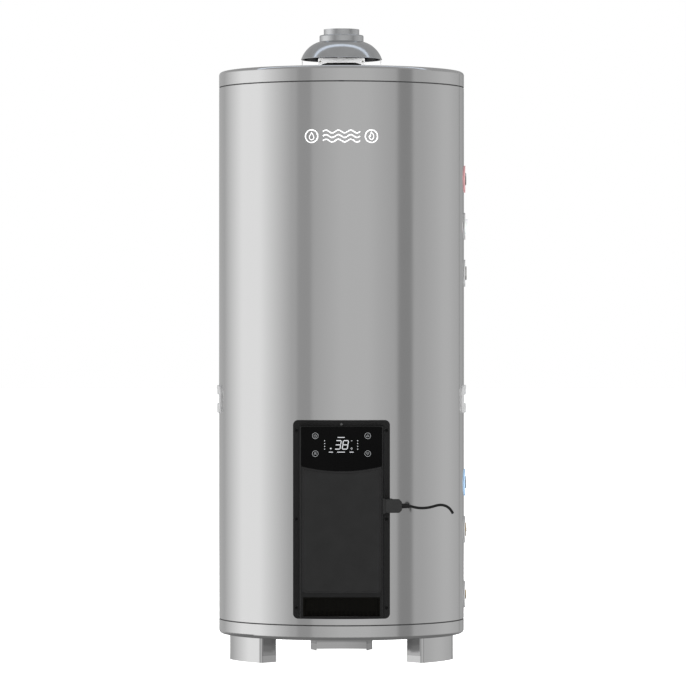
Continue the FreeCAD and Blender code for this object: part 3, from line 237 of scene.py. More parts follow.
make_camera()
make_world()
make_floor()
MIDDLE = (0.0, 0.0, 0.6)
make_lamp("front_box", (1.9, -3.2, 1.9), (0.0, 0.0, 0.55), 2.4, 2.4, 95.0)
make_lamp("left_box", (-3.2, -1.2, 1.5), MIDDLE, 2.0, 2.4, 55.0)
make_lamp("top_box", (0.0, 0.4, 3.6), MIDDLE, 2.6, 2.6, 80.0)
make_lamp("back_box", (1.6, 3.4, 1.8), MIDDLE, 2.4, 2.4, 60.0)
bpy.context.scene.view_settings.view_transform = "Standard"


# ---------------------------------------------------------------- materials

class Surface:
    """A procedural material of its own, read in metres on the part."""

    def __init__(self, name, roughness, metallic=0.0, **sockets):
        self.material = bpy.data.materials.new(name)
        self.material.use_nodes = True
        self.tree = self.material.node_tree
        self.shader = self.tree.nodes["Principled BSDF"]
        self.shader.inputs["Roughness"].default_value = roughness
        self.shader.inputs["Metallic"].default_value = metallic
        for socket, value in sockets.items():
            self.shader.inputs[socket.replace("_", " ")].default_value = value
        self.place = self.add("ShaderNodeTexCoord").outputs["Object"]
        self.bumps = None

    def add(self, kind, **settings):
        made = self.tree.nodes.new(kind)
        for name, value in settings.items():
            setattr(made, name, value)
        return made

    def join(self, source, target):
        self.tree.links.new(source, target)

    def noise(self, scale, detail=3.0, stretch=(1.0, 1.0, 1.0)):
        """Cloudy pattern from 0 to 1, about 1/scale metres from blotch to blotch."""
        mapping = self.add("ShaderNodeMapping")
        mapping.inputs["Scale"].default_value = stretch
        self.join(self.place, mapping.inputs["Vector"])
        made = self.add("ShaderNodeTexNoise")
        made.inputs["Scale"].default_value = scale
        made.inputs["Detail"].default_value = detail
        self.join(mapping.outputs["Vector"], made.inputs["Vector"])
        return made.outputs["Fac"]

    def cells(self, scale, feature="F1", output="Distance"):
        made = self.add("ShaderNodeTexVoronoi", feature=feature)
        made.inputs["Scale"].default_value = scale
        self.join(self.place, made.inputs["Vector"])
        return made.outputs[output]

    def remap(self, value, low, high, to_low, to_high):
        made = self.add("ShaderNodeMapRange")
        for socket, number in zip(("From Min", "From Max", "To Min", "To Max"), (low, high, to_low, to_high)):
            made.inputs[socket].default_value = number
        self.join(value, made.inputs["Value"])
        return made.outputs["Result"]

    def colour(self, value, stops):
        """Base colour by a pattern: stops of (place, colour)."""
        ramp = self.add("ShaderNodeValToRGB")
        fill_ramp(ramp, stops)
        self.join(value, ramp.inputs["Fac"])
        self.join(ramp.outputs["Color"], self.shader.inputs["Base Color"])
        return self

    def gloss(self, value, smooth, dull):
        """Roughness between two values by a pattern."""
        self.join(self.remap(value, 0.3, 0.7, smooth, dull), self.shader.inputs["Roughness"])
        return self

    def relief(self, value, height, strength=1.0):
        """Bump by a pattern, height in metres; later calls add finer relief on top."""
        bump = self.add("ShaderNodeBump")
        bump.inputs["Strength"].default_value = strength
        bump.inputs["Distance"].default_value = height
        self.join(value, bump.inputs["Height"])
        if self.bumps is not None:
            self.join(self.bumps, bump.inputs["Normal"])
        self.bumps = bump.outputs["Normal"]
        self.join(self.bumps, self.shader.inputs["Normal"])
        return self


def tinted(shade, factor):
    return tuple(min(1.0, channel * factor) for channel in shade)


def painted_metal(name, shade, smooth, dull):
    """Fine metallic paint with slight orange peel."""
    made = Surface(name, smooth, 1.0)
    made.colour(made.noise(5200.0, 2.0), [(0.3, tinted(shade, 0.985)), (0.7, tinted(shade, 1.015))])
    made.gloss(made.noise(7.0, 3.0), smooth, dull)
    made.relief(made.noise(230.0, 2.0), 0.000002)
    return made.material


def foot_paint(name, shade):
    """Casing paint on bent plates, with painted shade on flanges and inner faces, less in a painted floor
    reflection low down.
    """
    made = Surface(name, 0.07, 1.0)
    geometry = made.add("ShaderNodeNewGeometry")
    flat = made.add("ShaderNodeVectorMath", operation="MULTIPLY")
    flat.inputs[1].default_value = (1.0, 1.0, 0.0)
    made.join(made.place, flat.inputs[0])
    outward = made.add("ShaderNodeVectorMath", operation="NORMALIZE")
    made.join(flat.outputs["Vector"], outward.inputs[0])
    facing = made.add("ShaderNodeVectorMath", operation="DOT_PRODUCT")
    made.join(geometry.outputs["Normal"], facing.inputs[0])
    made.join(outward.outputs["Vector"], facing.inputs[1])
    split = made.add("ShaderNodeSeparateXYZ")
    made.join(made.place, split.inputs[0])
    # painted shade and painted floor reflection: flanges and inner faces darken to 0.6, and their lowest
    # strip only to 0.82
    strip = made.remap(split.outputs["Z"], FOOT_FLOOR_REFLECTION_TOP - 0.0002, FOOT_FLOOR_REFLECTION_TOP + 0.0002, 0.82, 0.6)
    flange_painted_shade = made.add("ShaderNodeMix", data_type="FLOAT")
    made.join(made.remap(facing.outputs["Value"], 0.35, 0.5, 0.0, 1.0), flange_painted_shade.inputs["Factor"])
    made.join(strip, flange_painted_shade.inputs["A"])
    flange_painted_shade.inputs["B"].default_value = 1.0
    grain = made.remap(made.noise(5200.0, 2.0), 0.3, 0.7, 0.985, 1.015)
    dim = made.add("ShaderNodeMath", operation="MULTIPLY")
    made.join(flange_painted_shade.outputs["Result"], dim.inputs[0])
    made.join(grain, dim.inputs[1])
    tone = made.add("ShaderNodeVectorMath", operation="SCALE")
    tone.inputs[0].default_value = shade
    made.join(dim.outputs[0], tone.inputs["Scale"])
    made.join(tone.outputs["Vector"], made.shader.inputs["Base Color"])
    made.gloss(made.noise(7.0, 3.0), 0.06, 0.09)
    made.relief(made.noise(230.0, 2.0), 0.000002)
    return made.material


def zinc_with_painted_inner_shade(name, shade):
    """Light zinc sheet whose faces towards the flue are painted near black as shade."""
    made = Surface(name, 0.45, 0.2)
    geometry = made.add("ShaderNodeNewGeometry")
    facing = made.add("ShaderNodeVectorMath", operation="DOT_PRODUCT")
    made.join(geometry.outputs["Normal"], facing.inputs[0])
    made.join(made.place, facing.inputs[1])
    split = made.add("ShaderNodeSeparateXYZ")
    made.join(geometry.outputs["Normal"], split.inputs[0])
    height = made.add("ShaderNodeSeparateXYZ")
    made.join(made.place, height.inputs[0])
    upward = made.add("ShaderNodeMath", operation="MULTIPLY")
    made.join(split.outputs["Z"], upward.inputs[0])
    made.join(height.outputs["Z"], upward.inputs[1])
    level = made.add("ShaderNodeMath", operation="SUBTRACT")
    made.join(facing.outputs["Value"], level.inputs[0])
    made.join(upward.outputs[0], level.inputs[1])
    # painted shade: faces turned in towards the axis are darkened to 2% of the sheet's colour
    made.colour(made.remap(level.outputs[0], -0.03, -0.01, 0.0, 1.0),
                [(0.0, tinted(shade, 0.02)), (1.0, shade)])
    made.gloss(made.noise(90.0, 4.0), 0.4, 0.5)
    made.relief(made.cells(2400.0), 0.00001)
    return made.material


def spun_steel_shaded_inside(name, shade):
    """Spun stainless sheet: bright dome, duller collar above it and an inner face darkened as painted shade.
    """
    made = Surface(name, 0.16, 1.0)
    split = made.add("ShaderNodeSeparateXYZ")
    made.join(made.place, split.inputs[0])
    centre = made.add("ShaderNodeCombineXYZ")
    around = made.add("ShaderNodeVectorMath", operation="LENGTH")
    made.join(split.outputs["X"], centre.inputs["X"])
    made.join(split.outputs["Y"], centre.inputs["Y"])
    made.join(centre.outputs["Vector"], around.inputs[0])
    across = made.add("ShaderNodeMath", operation="SUBTRACT")
    across.inputs[1].default_value = DOME_ARC_CENTRE[0]
    made.join(around.outputs["Value"], across.inputs[0])
    up = made.add("ShaderNodeMath", operation="SUBTRACT")
    up.inputs[1].default_value = DOME_ARC_CENTRE[1]
    made.join(split.outputs["Z"], up.inputs[0])
    arm = made.add("ShaderNodeCombineXYZ")
    made.join(across.outputs[0], arm.inputs["X"])
    made.join(up.outputs[0], arm.inputs["Y"])
    reach = made.add("ShaderNodeVectorMath", operation="LENGTH")
    made.join(arm.outputs["Vector"], reach.inputs[0])
    # painted shade: what lies inside the dome's outer arc, its inner face, is darkened to a fifth
    outer = made.remap(reach.outputs["Value"], DOME_ARC_RADIUS - 0.0006, DOME_ARC_RADIUS - 0.0004, 0.2, 1.0)
    cloud = made.remap(made.noise(60.0, 4.0), 0.3, 0.7, 0.95, 1.04)
    tone = made.add("ShaderNodeMath", operation="MULTIPLY")
    made.join(outer, tone.inputs[0])
    made.join(cloud, tone.inputs[1])
    tint = made.add("ShaderNodeVectorMath", operation="SCALE")
    tint.inputs[0].default_value = shade
    made.join(tone.outputs[0], tint.inputs["Scale"])
    made.join(tint.outputs["Vector"], made.shader.inputs["Base Color"])
    made.join(made.remap(split.outputs["Z"], 1.2555, 1.257, 0.16, 0.27), made.shader.inputs["Roughness"])
    made.relief(made.noise(700.0, 4.0, (1, 1, 0.1)), 0.000004)
    return made.material


def plated(name, shade, smooth, dull, stretch=(1.0, 1.0, 1.0)):
    """Bare or plated metal with a worked surface."""
    made = Surface(name, smooth, 1.0)
    grain = made.noise(900.0, 4.0, stretch)
    made.colour(made.noise(60.0, 4.0), [(0.3, tinted(shade, 0.82)), (0.7, tinted(shade, 1.06))])
    made.gloss(grain, smooth, dull)
    made.relief(grain, 0.00002)
    return made.material


def moulded(name, shade, smooth, dull, grain=2600.0, depth=0.000012, **sockets):
    """Moulded plastic: fine spark texture and slight uneven gloss."""
    made = Surface(name, smooth, **sockets)
    made.colour(made.noise(35.0, 5.0), [(0.3, tinted(shade, 0.93)), (0.7, tinted(shade, 1.07))])
    made.gloss(made.noise(120.0, 4.0), smooth, dull)
    made.relief(made.noise(grain, 2.0), depth)
    return made.material


def cast(name, shade, smooth, dull, metallic=1.0, grain=700.0, depth=0.00008):
    """Sand-cast or sprayed surface with grains and darker hollows."""
    made = Surface(name, smooth, metallic)
    grains = made.cells(grain)
    made.colour(grains, [(0.1, tinted(shade, 1.1)), (0.8, tinted(shade, 0.7))])
    made.gloss(made.noise(90.0, 4.0), smooth, dull)
    made.relief(grains, depth)
    return made.material


def spangled(name, shade):
    """Hot-dip zinc with crystals of differing shade."""
    made = Surface(name, 0.38, 1.0)
    crystal = made.cells(70.0, output="Color")
    made.colour(crystal, [(0.0, tinted(shade, 0.75)), (1.0, tinted(shade, 1.15))])
    made.gloss(crystal, 0.3, 0.46)
    made.relief(made.noise(500.0), 0.00001)
    return made.material


def foamed(name, shade):
    """Open-cell face of rigid foam."""
    made = Surface(name, 0.9)
    pores = made.cells(320.0)
    made.colour(pores, [(0.0, tinted(shade, 0.7)), (0.5, shade), (1.0, tinted(shade, 1.1))])
    made.relief(pores, 0.0009).relief(made.noise(25.0, 5.0), 0.002)
    return made.material


def circuit(name):
    """Green lacquer over copper tracks with a fibre weave under it."""
    made = Surface(name, 0.32, Coat_Weight=0.4, Coat_Roughness=0.1)
    tracks = made.cells(150.0, feature="DISTANCE_TO_EDGE")
    made.colour(tracks, [(0.0, (0.02, 0.2, 0.08)), (0.06, (0.02, 0.2, 0.08)), (0.09, (0.008, 0.085, 0.035)),
                         (1.0, (0.006, 0.07, 0.03))])
    made.relief(tracks, 0.00005)
    return made.material


def glass_black(name):
    """Tinted display pane, near black and glossy."""
    made = Surface(name, 0.05, Specular_IOR_Level=0.07)
    made.colour(made.noise(9.0, 2.0), [(0.3, grey(0.0008)), (0.7, grey(0.0014))])
    made.gloss(made.noise(40.0, 4.0), 0.045, 0.075)
    return made.material


def glowing(name, shade, strength):
    """Printed or lit marks, a little uneven like a backlight behind film."""
    made = Surface(name, 0.5, Specular_IOR_Level=0.1, Base_Color=(0.01, 0.01, 0.01, 1.0))
    made.shader.inputs["Emission Color"].default_value = (*shade, 1.0)
    made.join(made.remap(made.noise(900.0, 2.0), 0.3, 0.7, 0.94 * strength, 1.06 * strength),
              made.shader.inputs["Emission Strength"])
    return made.material


def rubber(name, shade):
    """Matt black rubber or PVC with fine drag lines."""
    made = Surface(name, 0.5, Specular_IOR_Level=0.25)
    made.colour(made.noise(160.0, 4.0), [(0.3, tinted(shade, 0.8)), (0.7, tinted(shade, 1.25))])
    made.gloss(made.noise(400.0), 0.42, 0.58)
    made.relief(made.noise(1500.0), 0.00003)
    return made.material


SILVER = grey(0.74)
FOOT_FLOOR_REFLECTION_TOP = 0.0136
DOME_ARC_CENTRE = (0.0306, 1.2033)
DOME_ARC_RADIUS = 0.0546
MATERIALS = {
    "casing_paint": painted_metal("casing_paint", SILVER, 0.1, 0.14),
    "cover_paint": painted_metal("cover_paint", SILVER, 0.1, 0.14),
    "foot_paint": foot_paint("foot_paint", SILVER),
    "seam_gasket": rubber("seam_gasket", grey(0.04)),
    "foam": foamed("foam", (0.72, 0.55, 0.27)),
    "tank_steel": cast("tank_steel", (0.05, 0.055, 0.07), 0.25, 0.4, 0.3, 900.0, 0.00004),
    "flue_steel": plated("flue_steel", (0.5, 0.5, 0.5), 0.3, 0.42, (1, 1, 0.08)),
    "baffle_steel": plated("baffle_steel", (0.36, 0.33, 0.3), 0.4, 0.6),
    "diffuser_plastic": moulded("diffuser_plastic", (0.75, 0.76, 0.74), 0.35, 0.5),
    "anode_metal": cast("anode_metal", (0.62, 0.62, 0.6), 0.45, 0.6),
    "access_cap": moulded("access_cap", grey(0.3), 0.38, 0.5),
    "nipple_metal": plated("nipple_metal", (0.74, 0.74, 0.72), 0.1, 0.22),
    "brass": plated("brass", (0.78, 0.58, 0.28), 0.18, 0.32),
    "sensor_metal": plated("sensor_metal", (0.72, 0.5, 0.38), 0.2, 0.35),
    "thermostat": moulded("thermostat", grey(0.03), 0.4, 0.55),
    "hot_rosette": moulded("hot_rosette", (0.56, 0.29, 0.3), 0.26, 0.36, 900.0, 0.000006),
    "cold_rosette": moulded("cold_rosette", (0.42, 0.62, 0.85), 0.26, 0.36, 900.0, 0.000006),
    "grey_rosette": moulded("grey_rosette", grey(0.42), 0.3, 0.42, 900.0, 0.000006),
    "white_cap": moulded("white_cap", grey(0.7), 0.3, 0.42, 900.0, 0.000006, Subsurface_Weight=0.1),
    "handle_plastic": moulded("handle_plastic", grey(0.4), 0.3, 0.42),
    "zinc_bolt": plated("zinc_bolt", (0.66, 0.66, 0.6), 0.24, 0.4),
    "hood_steel": spun_steel_shaded_inside("hood_steel", (0.68, 0.69, 0.7)),
    "bracket_steel": zinc_with_painted_inner_shade("bracket_steel", grey(0.93)),
    "frame_plastic": moulded("frame_plastic", grey(0.0065), 0.36, 0.44, Specular_IOR_Level=0.22),
    "cover_plastic": moulded("cover_plastic", grey(0.012), 0.4, 0.47, Specular_IOR_Level=0.17),
    "grille_plastic": moulded("grille_plastic", (0.0024, 0.0022, 0.0014), 0.5, 0.6, Specular_IOR_Level=0.1),
    "inlet_plastic": moulded("inlet_plastic", grey(0.012), 0.4, 0.5),
    "connector_plastic": moulded("connector_plastic", grey(0.012), 0.4, 0.5),
    "black_screw": plated("black_screw", grey(0.025), 0.3, 0.42),
    "light_lens": moulded("light_lens", grey(0.05), 0.2, 0.3),
    "display_glass": glass_black("display_glass"),
    "circuit_board": circuit("circuit_board"),
    "cord_rubber": rubber("cord_rubber", grey(0.006)),
    "chamber_steel": plated("chamber_steel", (0.4, 0.39, 0.38), 0.4, 0.58),
    "galvanised": spangled("galvanised", (0.6, 0.61, 0.62)),
    "burner_steel": plated("burner_steel", (0.52, 0.5, 0.47), 0.3, 0.48),
    "electrode": moulded("electrode", (0.82, 0.8, 0.74), 0.25, 0.4),
    "valve_alloy": cast("valve_alloy", (0.62, 0.62, 0.62), 0.4, 0.55),
    "coil": moulded("coil", (0.04, 0.05, 0.12), 0.4, 0.55),
    "plunger_steel": plated("plunger_steel", (0.7, 0.7, 0.7), 0.15, 0.25),
    "gas_pipe": plated("gas_pipe", (0.7, 0.7, 0.68), 0.22, 0.34),
}
MARKS = glowing("lit_marks", (0.95, 0.97, 1.0), 0.82)
KEYS = glowing("key_marks", (0.78, 0.8, 0.82), 0.62)
PRINT = moulded("white_print", grey(0.86), 0.3, 0.4, 1500.0, 0.000004)


def dress_nodes():
    for name, obj in NODES.items():
        obj.data.materials[0] = MATERIALS[SLOTS[name]]


# ---------------------------------------------------------------- making pieces

def finish_piece(name, mesh, body, slot, material=None, crease=35.0):
    """Put a mesh in the scene, smooth but for its creases, on its body and finish."""
    obj = bpy.data.objects.new(name, mesh)
    bpy.context.scene.collection.objects.link(obj)
    mesh.materials.clear()
    mesh.materials.append(material or MATERIALS[slot])
    mesh.shade_smooth()
    mesh.set_sharp_from_angle(angle=math.radians(crease))
    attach(obj, body)
    return obj


def mesh_of(name, shape):
    mesh = bpy.data.meshes.new(name)
    bmesh.ops.recalc_face_normals(shape, faces=shape.faces)
    shape.to_mesh(mesh)
    shape.free()
    return mesh


EDGE_ANGLE = 28.0


def softened(node, width, segments=2):
    """A node's own shape with its facets joined and its sharp edges eased, in the node's place."""
    source = NODES[node]
    shape = bmesh.new()
    shape.from_mesh(source.data)
    bmesh.ops.remove_doubles(shape, verts=shape.verts, dist=0.000002)
    bmesh.ops.dissolve_limit(shape, angle_limit=math.radians(0.3), verts=shape.verts, edges=shape.edges)
    mesh = bpy.data.meshes.new(node + "_eased")
    shape.to_mesh(mesh)
    shape.free()
    for attribute in [item for item in mesh.attributes if item.name in ("custom_normal", "sharp_edge")]:
        mesh.attributes.remove(attribute)
    slot = SLOTS[node]
    obj = bpy.data.objects.new(node + "_eased", mesh)
    bpy.context.scene.collection.objects.link(obj)
    mesh.materials.clear()
    mesh.materials.append(MATERIALS[slot])
    mesh.shade_smooth()
    ease = obj.modifiers.new("eased_edges", "BEVEL")
    ease.width = width
    ease.segments = segments
    ease.limit_method = "ANGLE"
    ease.angle_limit = math.radians(EDGE_ANGLE)
    ease.harden_normals = True
    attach(obj, BODY_OF[node])
    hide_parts(node)
    return obj


def lathe(shape, profile, centre, axis, segments=48, close=False):
    """Turn a profile of (along, radius) about an axis through centre into a bmesh."""
    turn = Vector(axis).to_track_quat("Z", "Y").to_matrix()
    rings = []
    for along, radius in profile:
        ring = []
        for index in range(segments):
            angle = 2 * math.pi * index / segments
            at = Vector((radius * math.cos(angle), radius * math.sin(angle), along))
            ring.append(shape.verts.new(Vector(centre) + turn @ at))
        rings.append(ring)
    pairs = list(zip(rings, rings[1:]))
    if close:
        pairs.append((rings[-1], rings[0]))
    for first, second in pairs:
        for index in range(segments):
            after = (index + 1) % segments
            shape.faces.new((first[index], first[after], second[after], second[index]))
    if not close:
        shape.faces.new(list(reversed(rings[0])))
        shape.faces.new(rings[-1])


def slab(shape, outline, back, front, place):
    """A flat plate from a 2-D outline, from depth back to depth front."""
    lower = [shape.verts.new(place(u, v, back)) for u, v in outline]
    upper = [shape.verts.new(place(u, v, front)) for u, v in outline]
    shape.faces.new(list(reversed(lower)))
    shape.faces.new(upper)
    for index in range(len(outline)):
        after = (index + 1) % len(outline)
        shape.faces.new((lower[index], lower[after], upper[after], upper[index]))


def ribbon(shape, path, width, back, front, place, closed=False):
    """A thin raised line along a 2-D path, with mitred corners."""
    count = len(path)
    sides = []
    for index, (u, v) in enumerate(path):
        before = path[index - 1] if closed or index else path[index]
        after = path[(index + 1) % count] if closed or index < count - 1 else path[index]
        inward = Vector((u - before[0], v - before[1]))
        outward = Vector((after[0] - u, after[1] - v))
        inward = inward.normalized() if inward.length else outward.normalized()
        outward = outward.normalized() if outward.length else inward
        along = (inward + outward).normalized()
        normal = Vector((-along.y, along.x))
        reach = width / 2 / max(0.35, along.dot(outward))
        aside = normal * reach
        sides.append(((u + aside.x, v + aside.y), (u - aside.x, v - aside.y)))
    corners = [[shape.verts.new(place(*point, depth)) for depth in (back, front) for point in pair]
               for pair in sides]
    for index in range(count if closed else count - 1):
        a, b = corners[index], corners[(index + 1) % count]
        for first, second in ((0, 1), (1, 3), (3, 2), (2, 0)):
            shape.faces.new((a[first], a[second], b[second], b[first]))
    if not closed:
        for end in (corners[0], corners[-1]):
            shape.faces.new((end[0], end[1], end[3], end[2]))


def circle(u, v, radius, steps=40, start=0.0, sweep=360.0):
    """Points round a circle or an arc of it, in degrees from the right."""
    count = steps if sweep >= 360.0 else steps + 1
    return [(u + radius * math.cos(math.radians(start + sweep * index / steps)),
             v + radius * math.sin(math.radians(start + sweep * index / steps))) for index in range(count)]


# ---------------------------------------------------------------- cord

CORD_ROUTE = (
    (0.135, -0.2493, 0.3178), (0.147, -0.249, 0.3144), (0.161, -0.2484, 0.3132), (0.176, -0.2472, 0.3149),
    (0.191, -0.2456, 0.3194), (0.2005, -0.2446, 0.3198), (0.2095, -0.2436, 0.3168),
    (0.217, -0.2428, 0.3105), (0.2213, -0.2422, 0.3025),
)
CORD_DIAMETER = 0.0053


def make_cord():
    curve = bpy.data.curves.new("power_lead", "CURVE")
    curve.dimensions = "3D"
    curve.bevel_depth = CORD_DIAMETER / 2
    curve.bevel_resolution = 6
    curve.resolution_u = 16
    curve.use_fill_caps = True
    spline = curve.splines.new("NURBS")
    spline.points.add(len(CORD_ROUTE) - 1)
    for point, at in zip(spline.points, CORD_ROUTE):
        point.co = (*at, 1.0)
    spline.order_u = 3
    spline.use_endpoint_u = True
    curve.materials.append(MATERIALS["cord_rubber"])
    cord = bpy.data.objects.new("power_lead", curve)
    bpy.context.scene.collection.objects.link(cord)
    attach(cord, "lead")
    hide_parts("power_cord")
    return cord


def make_strain_relief():
    """Nearly straight boot with a collar at the connector and one ring groove near the cord."""
    low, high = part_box("strain_relief")
    middle = (low + high) / 2
    length = high.x - low.x
    profile = [(0.0, 0.0049), (0.0004, 0.0051), (0.0016, 0.0051), (0.002, 0.0047), (length - 0.0052, 0.0046),
               (length - 0.0048, 0.004), (length - 0.0036, 0.004), (length - 0.0032, 0.0046),
               (length - 0.0007, 0.0046), (length - 0.0002, 0.0043), (length, 0.0036)]
    shape = bmesh.new()
    lathe(shape, profile, (low.x, middle.y, middle.z), (1, 0, 0), 40)
    boot = finish_piece("ribbed_boot", mesh_of("ribbed_boot", shape), "lead", "cord_rubber", crease=40.0)
    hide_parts("strain_relief")
    return boot


def make_cord_end():
    """Three cut cores in the cord's open end: insulation rings and stranded copper."""
    end = Vector(CORD_ROUTE[-1])
    along = (end - Vector(CORD_ROUTE[-2])).normalized()
    turn = along.to_track_quat("Z", "Y").to_matrix()
    made = []
    for index, shade in enumerate(((0.25, 0.13, 0.05), (0.03, 0.12, 0.4), (0.3, 0.4, 0.05))):
        angle = math.radians(120.0 * index + 90.0)
        offset = turn @ Vector((0.00118 * math.cos(angle), 0.00118 * math.sin(angle), 0.0))
        core = bmesh.new()
        lathe(core, [(-0.0006, 0.00085), (0.00012, 0.00085), (0.00016, 0.0008)], end + offset, along, 20)
        skin = moulded(f"core_skin_{index}", shade, 0.4, 0.5)
        made.append(finish_piece(f"core_{index}", mesh_of(f"core_{index}", core), "lead", "cord_rubber",
                                 skin))
        strands = bmesh.new()
        for turns, radius in ((1, 0.0), (6, 0.00032)):
            for step in range(turns):
                swing = 2 * math.pi * step / turns
                place = turn @ Vector((radius * math.cos(swing), radius * math.sin(swing), 0.0))
                lathe(strands, [(0.0, 0.00015), (0.00022, 0.00015), (0.00026, 0.0001)], end + offset + place,
                      along, 8)
        made.append(finish_piece(f"copper_{index}", mesh_of(f"copper_{index}", strands), "lead", "brass",
                                 MATERIALS["brass"]))
    return made


# ---------------------------------------------------------------- marks

FRONT_OF_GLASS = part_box("display_glass")[0].y
SKIN_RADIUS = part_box("outer_casing")[1].x


def on_glass(u, v, depth):
    return Vector((u, FRONT_OF_GLASS - depth, v))


def on_casing(u, v, depth):
    angle = u / SKIN_RADIUS
    reach = SKIN_RADIUS + depth
    return Vector((reach * math.sin(angle), -reach * math.cos(angle), v))


SEGMENTS_OF = {"3": "abgcd", "8": "abcdefg"}


def digit(shape, value, left, low, width, height, lean):
    """A seven-segment digit of separate bars, leaning to the right."""
    thick = 0.0017
    gap = 0.0002
    half = height / 2
    bars = {
        "a": ((0, height), (width, height)), "g": ((0, half), (width, half)), "d": ((0, 0), (width, 0)),
        "f": ((0, half), (0, height)), "b": ((width, half), (width, height)),
        "e": ((0, 0), (0, half)), "c": ((width, 0), (width, half)),
    }
    for name in SEGMENTS_OF[value]:
        start, end = Vector(bars[name][0]), Vector(bars[name][1])
        along = (end - start).normalized()
        normal = Vector((-along.y, along.x))
        start, end = start + along * gap, end - along * gap
        cut = thick / 2
        outline = [start, start + along * cut + normal * cut, end - along * cut + normal * cut, end,
                   end - along * cut - normal * cut, start + along * cut - normal * cut]
        slab(shape, [(left + point.x + point.y * lean, low + point.y) for point in outline], 0.0, 0.00008,
             on_glass)


def make_display_marks():
    """Lit figures and bars in the middle, and the rings and signs of four touch keys."""
    lit = bmesh.new()
    digit(lit, "3", -0.0132, 0.4309, 0.0102, 0.0168, 0.16)
    digit(lit, "8", 0.0012, 0.4309, 0.0102, 0.0168, 0.16)
    for side in (-0.0334, 0.0321):
        for height in (0.4474, 0.4419, 0.4364, 0.4308):
            slab(lit, circle(side, height, 0.0009, 14), 0.0, 0.00008, on_glass)
    for low, high, height in ((-0.0249, -0.017, 0.4249), (-0.0085, 0.0067, 0.4249), (0.016, 0.0239, 0.4249),
                              (-0.0077, 0.0063, 0.454)):
        slab(lit, [(low, height - 0.0007), (high, height - 0.0007), (high, height + 0.0007),
                   (low, height + 0.0007)], 0.0, 0.00008, on_glass)
    slab(lit, circle(-0.0212, 0.4320, 0.0015, 18), 0.0, 0.00008, on_glass)
    ribbon(lit, circle(0.020, 0.4320, 0.0015, 20), 0.0006, 0.0, 0.00008, on_glass, True)
    ribbon(lit, [(0.0186, 0.4473), (0.0214, 0.4473)], 0.0008, 0.0, 0.00008, on_glass)
    finish_piece("lit_figures", mesh_of("lit_figures", lit), "heater", "display_glass", MARKS)

    keys = bmesh.new()
    for side in (-0.0519, 0.0519):
        for height in (0.4572, 0.4219):
            ribbon(keys, circle(side, height, 0.0058, 48), 0.0006, 0.0, 0.00007, on_glass, True)
    ribbon(keys, circle(-0.0519, 0.4568, 0.0026, 24, 120.0, 300.0), 0.0005, 0.0, 0.00007, on_glass)
    ribbon(keys, [(-0.0519, 0.4572), (-0.0519, 0.4602)], 0.0005, 0.0, 0.00007, on_glass)
    ribbon(keys, circle(-0.0519, 0.4232, 0.0016, 24), 0.0005, 0.0, 0.00007, on_glass, True)
    ribbon(keys, circle(-0.0519, 0.4185, 0.0026, 16, 10.0, 160.0), 0.0005, 0.0, 0.00007, on_glass)
    ribbon(keys, [(0.0492, 0.4555), (0.0519, 0.4597), (0.0546, 0.4555)], 0.0005, 0.0, 0.00007, on_glass, True)
    ribbon(keys, [(0.0492, 0.4236), (0.0519, 0.4194), (0.0546, 0.4236)], 0.0005, 0.0, 0.00007, on_glass, True)
    finish_piece("touch_keys", mesh_of("touch_keys", keys), "heater", "display_glass", KEYS)


def make_casing_mark():
    """A generic mark in thin white lines: drop, flame, and rows of waves between two rings."""
    width, lift = 0.0024, 0.00012
    middle = 1.0515
    mark = bmesh.new()

    def draw(path, closed=False):
        ribbon(mark, path, width, 0.0, lift, on_casing, closed)

    draw(circle(-0.060, middle, 0.0125, 56), True)
    drop = [(-0.060, middle + 0.0075)]
    drop += circle(-0.060, middle - 0.0022, 0.0048, 24, 35.0, -250.0)
    ribbon(mark, drop, 0.0016, 0.0, lift, on_casing, True)
    for row in (-0.009, 0.0, 0.009):
        wave = [(-0.037 + 0.074 * step / 72, middle + row + 0.0028 * math.sin(2 * math.pi * step / 24.0))
                for step in range(73)]
        draw(wave)
    draw(circle(0.060, middle, 0.0125, 56), True)
    flame = [(0.060, middle + 0.0085), (0.0638, middle + 0.0035), (0.0648, middle - 0.0015),
             (0.0632, middle - 0.0052), (0.060, middle - 0.0066), (0.0568, middle - 0.0052),
             (0.0552, middle - 0.0015), (0.0560, middle + 0.0012), (0.0580, middle - 0.0004),
             (0.0586, middle + 0.0042)]
    ribbon(mark, flame, 0.0016, 0.0, lift, on_casing, True)
    finish_piece("casing_mark", mesh_of("casing_mark", mark), "heater", "white_cap", PRINT)


# ---------------------------------------------------------------- small fittings

def make_grille_screen():
    """A woven dust screen behind the air grille: upright and level wires."""
    low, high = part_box("air_grille")
    depth = high.y + 0.0004
    screen = bmesh.new()

    def behind(u, v, lift):
        return Vector((u, depth - lift, v))

    slab(screen, [(low.x + 0.001, low.z + 0.001), (high.x - 0.001, low.z + 0.001),
                  (high.x - 0.001, high.z - 0.001), (low.x + 0.001, high.z - 0.001)],
         -0.0012, -0.0006, behind)
    for index in range(75):
        across = low.x + 0.002 + index * 0.002
        ribbon(screen, [(across, low.z + 0.001), (across, low.z + 0.012)], 0.0005, -0.0006, 0.0, behind)
    for index in range(5):
        level = low.z + 0.002 + index * 0.002
        ribbon(screen, [(low.x + 0.001, level), (high.x - 0.001, level)], 0.0005, -0.0005, 0.0002, behind)
    finish_piece("grille_screen", mesh_of("grille_screen", screen), "heater", "grille_plastic")


def pan_screw(name, at, axis, radius, body, slot):
    """A screw head with rounded shoulders and a round recess."""
    head = bmesh.new()
    high = radius * 0.62
    lathe(head, [(0.0, radius), (high * 0.55, radius), (high * 0.85, radius * 0.86), (high, radius * 0.55),
                 (high, radius * 0.3), (high * 0.5, radius * 0.16)], at, axis, 28)
    return finish_piece(name, mesh_of(name, head), body, slot)


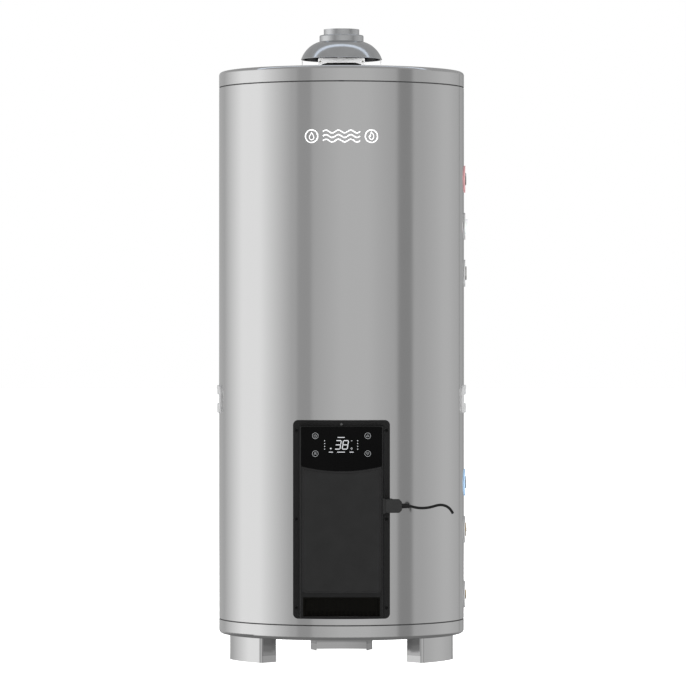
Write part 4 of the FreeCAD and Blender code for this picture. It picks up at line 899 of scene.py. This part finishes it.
def make_bridge_screws():
    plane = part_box("hood_brackets")[0].y
    for side, label in ((-1, "left"), (1, "right")):
        pan_screw(f"bridge_screw_{label}", (side * 0.0433, plane, 1.2118), (0, -1, 0), 0.0018, "hood",
                  "zinc_bolt")


def make_lock_seam():
    """The folded seam that closes the casing sheet, at the back on the left."""
    low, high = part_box("outer_casing")
    centre = math.radians(205.0) * SKIN_RADIUS
    seam = bmesh.new()
    lines = ((-0.0065, -0.0045, 0.0004), (-0.0045, 0.0045, 0.0007), (0.0045, 0.0065, 0.0004))
    for start, end, lift in lines:
        slab(seam, [(centre + start, low.z + 0.0005), (centre + end, low.z + 0.0005),
                    (centre + end, high.z - 0.0005), (centre + start, high.z - 0.0005)], -0.0006, lift,
             on_casing)
    finish_piece("lock_seam", mesh_of("lock_seam", seam), "heater", "casing_paint")


def make_nipple(node, bore, pitch):
    """A pipe nipple with thread and chamfer on its outer end and its bore open all through."""
    low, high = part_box(node)
    middle = (low + high) / 2
    outer = (high.z - low.z) / 2
    profile = [(low.x, outer), (high.x - 0.0125, outer)]
    turns = int(0.0105 / pitch)
    for index in range(turns):
        at = high.x - 0.0115 + index * pitch
        profile += [(at, outer - 0.0009), (at + pitch / 2, outer)]
    profile += [(high.x - 0.0006, outer - 0.0009), (high.x, outer - 0.0014), (high.x, bore), (low.x, bore)]
    pipe = bmesh.new()
    lathe(pipe, profile, (0.0, middle.y, middle.z), (1, 0, 0), 64, close=True)
    name = node + "_threaded"
    piece = finish_piece(name, mesh_of(name, pipe), BODY_OF[node], SLOTS[node], crease=25.0)
    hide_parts(node)


# ---------------------------------------------------------------- the scene

EASED = {
    "left_handle": 0.0008, "right_handle": 0.0008, "hot_rosette": 0.0005, "cold_rosette": 0.0005,
    "grey_rosettes": 0.0005, "spare_port_plug": 0.0006, "drain_valve": 0.0006, "relief_cap": 0.0005,
    "anode_cap": 0.0006,
}


def make_all():
    dress_nodes()
    cord = make_cord()
    boot = make_strain_relief()
    plug = softened("power_connector", 0.0009, 3)
    lead = [boot, plug, *make_cord_end()]
    softened("control_frame", 0.0006)
    softened("service_cover", 0.0008, 3)
    softened("display_glass", 0.0003)
    make_display_marks()
    make_casing_mark()
    make_grille_screen()
    make_bridge_screws()
    make_lock_seam()
    make_nipple("hot_outlet_nipple", 0.0102, 0.0018)
    make_nipple("cold_inlet_nipple", 0.0102, 0.0018)
    make_nipple("gas_inlet_nipple", 0.0075, 0.0016)
    for node, width in EASED.items():
        softened(node, width)


make_all()
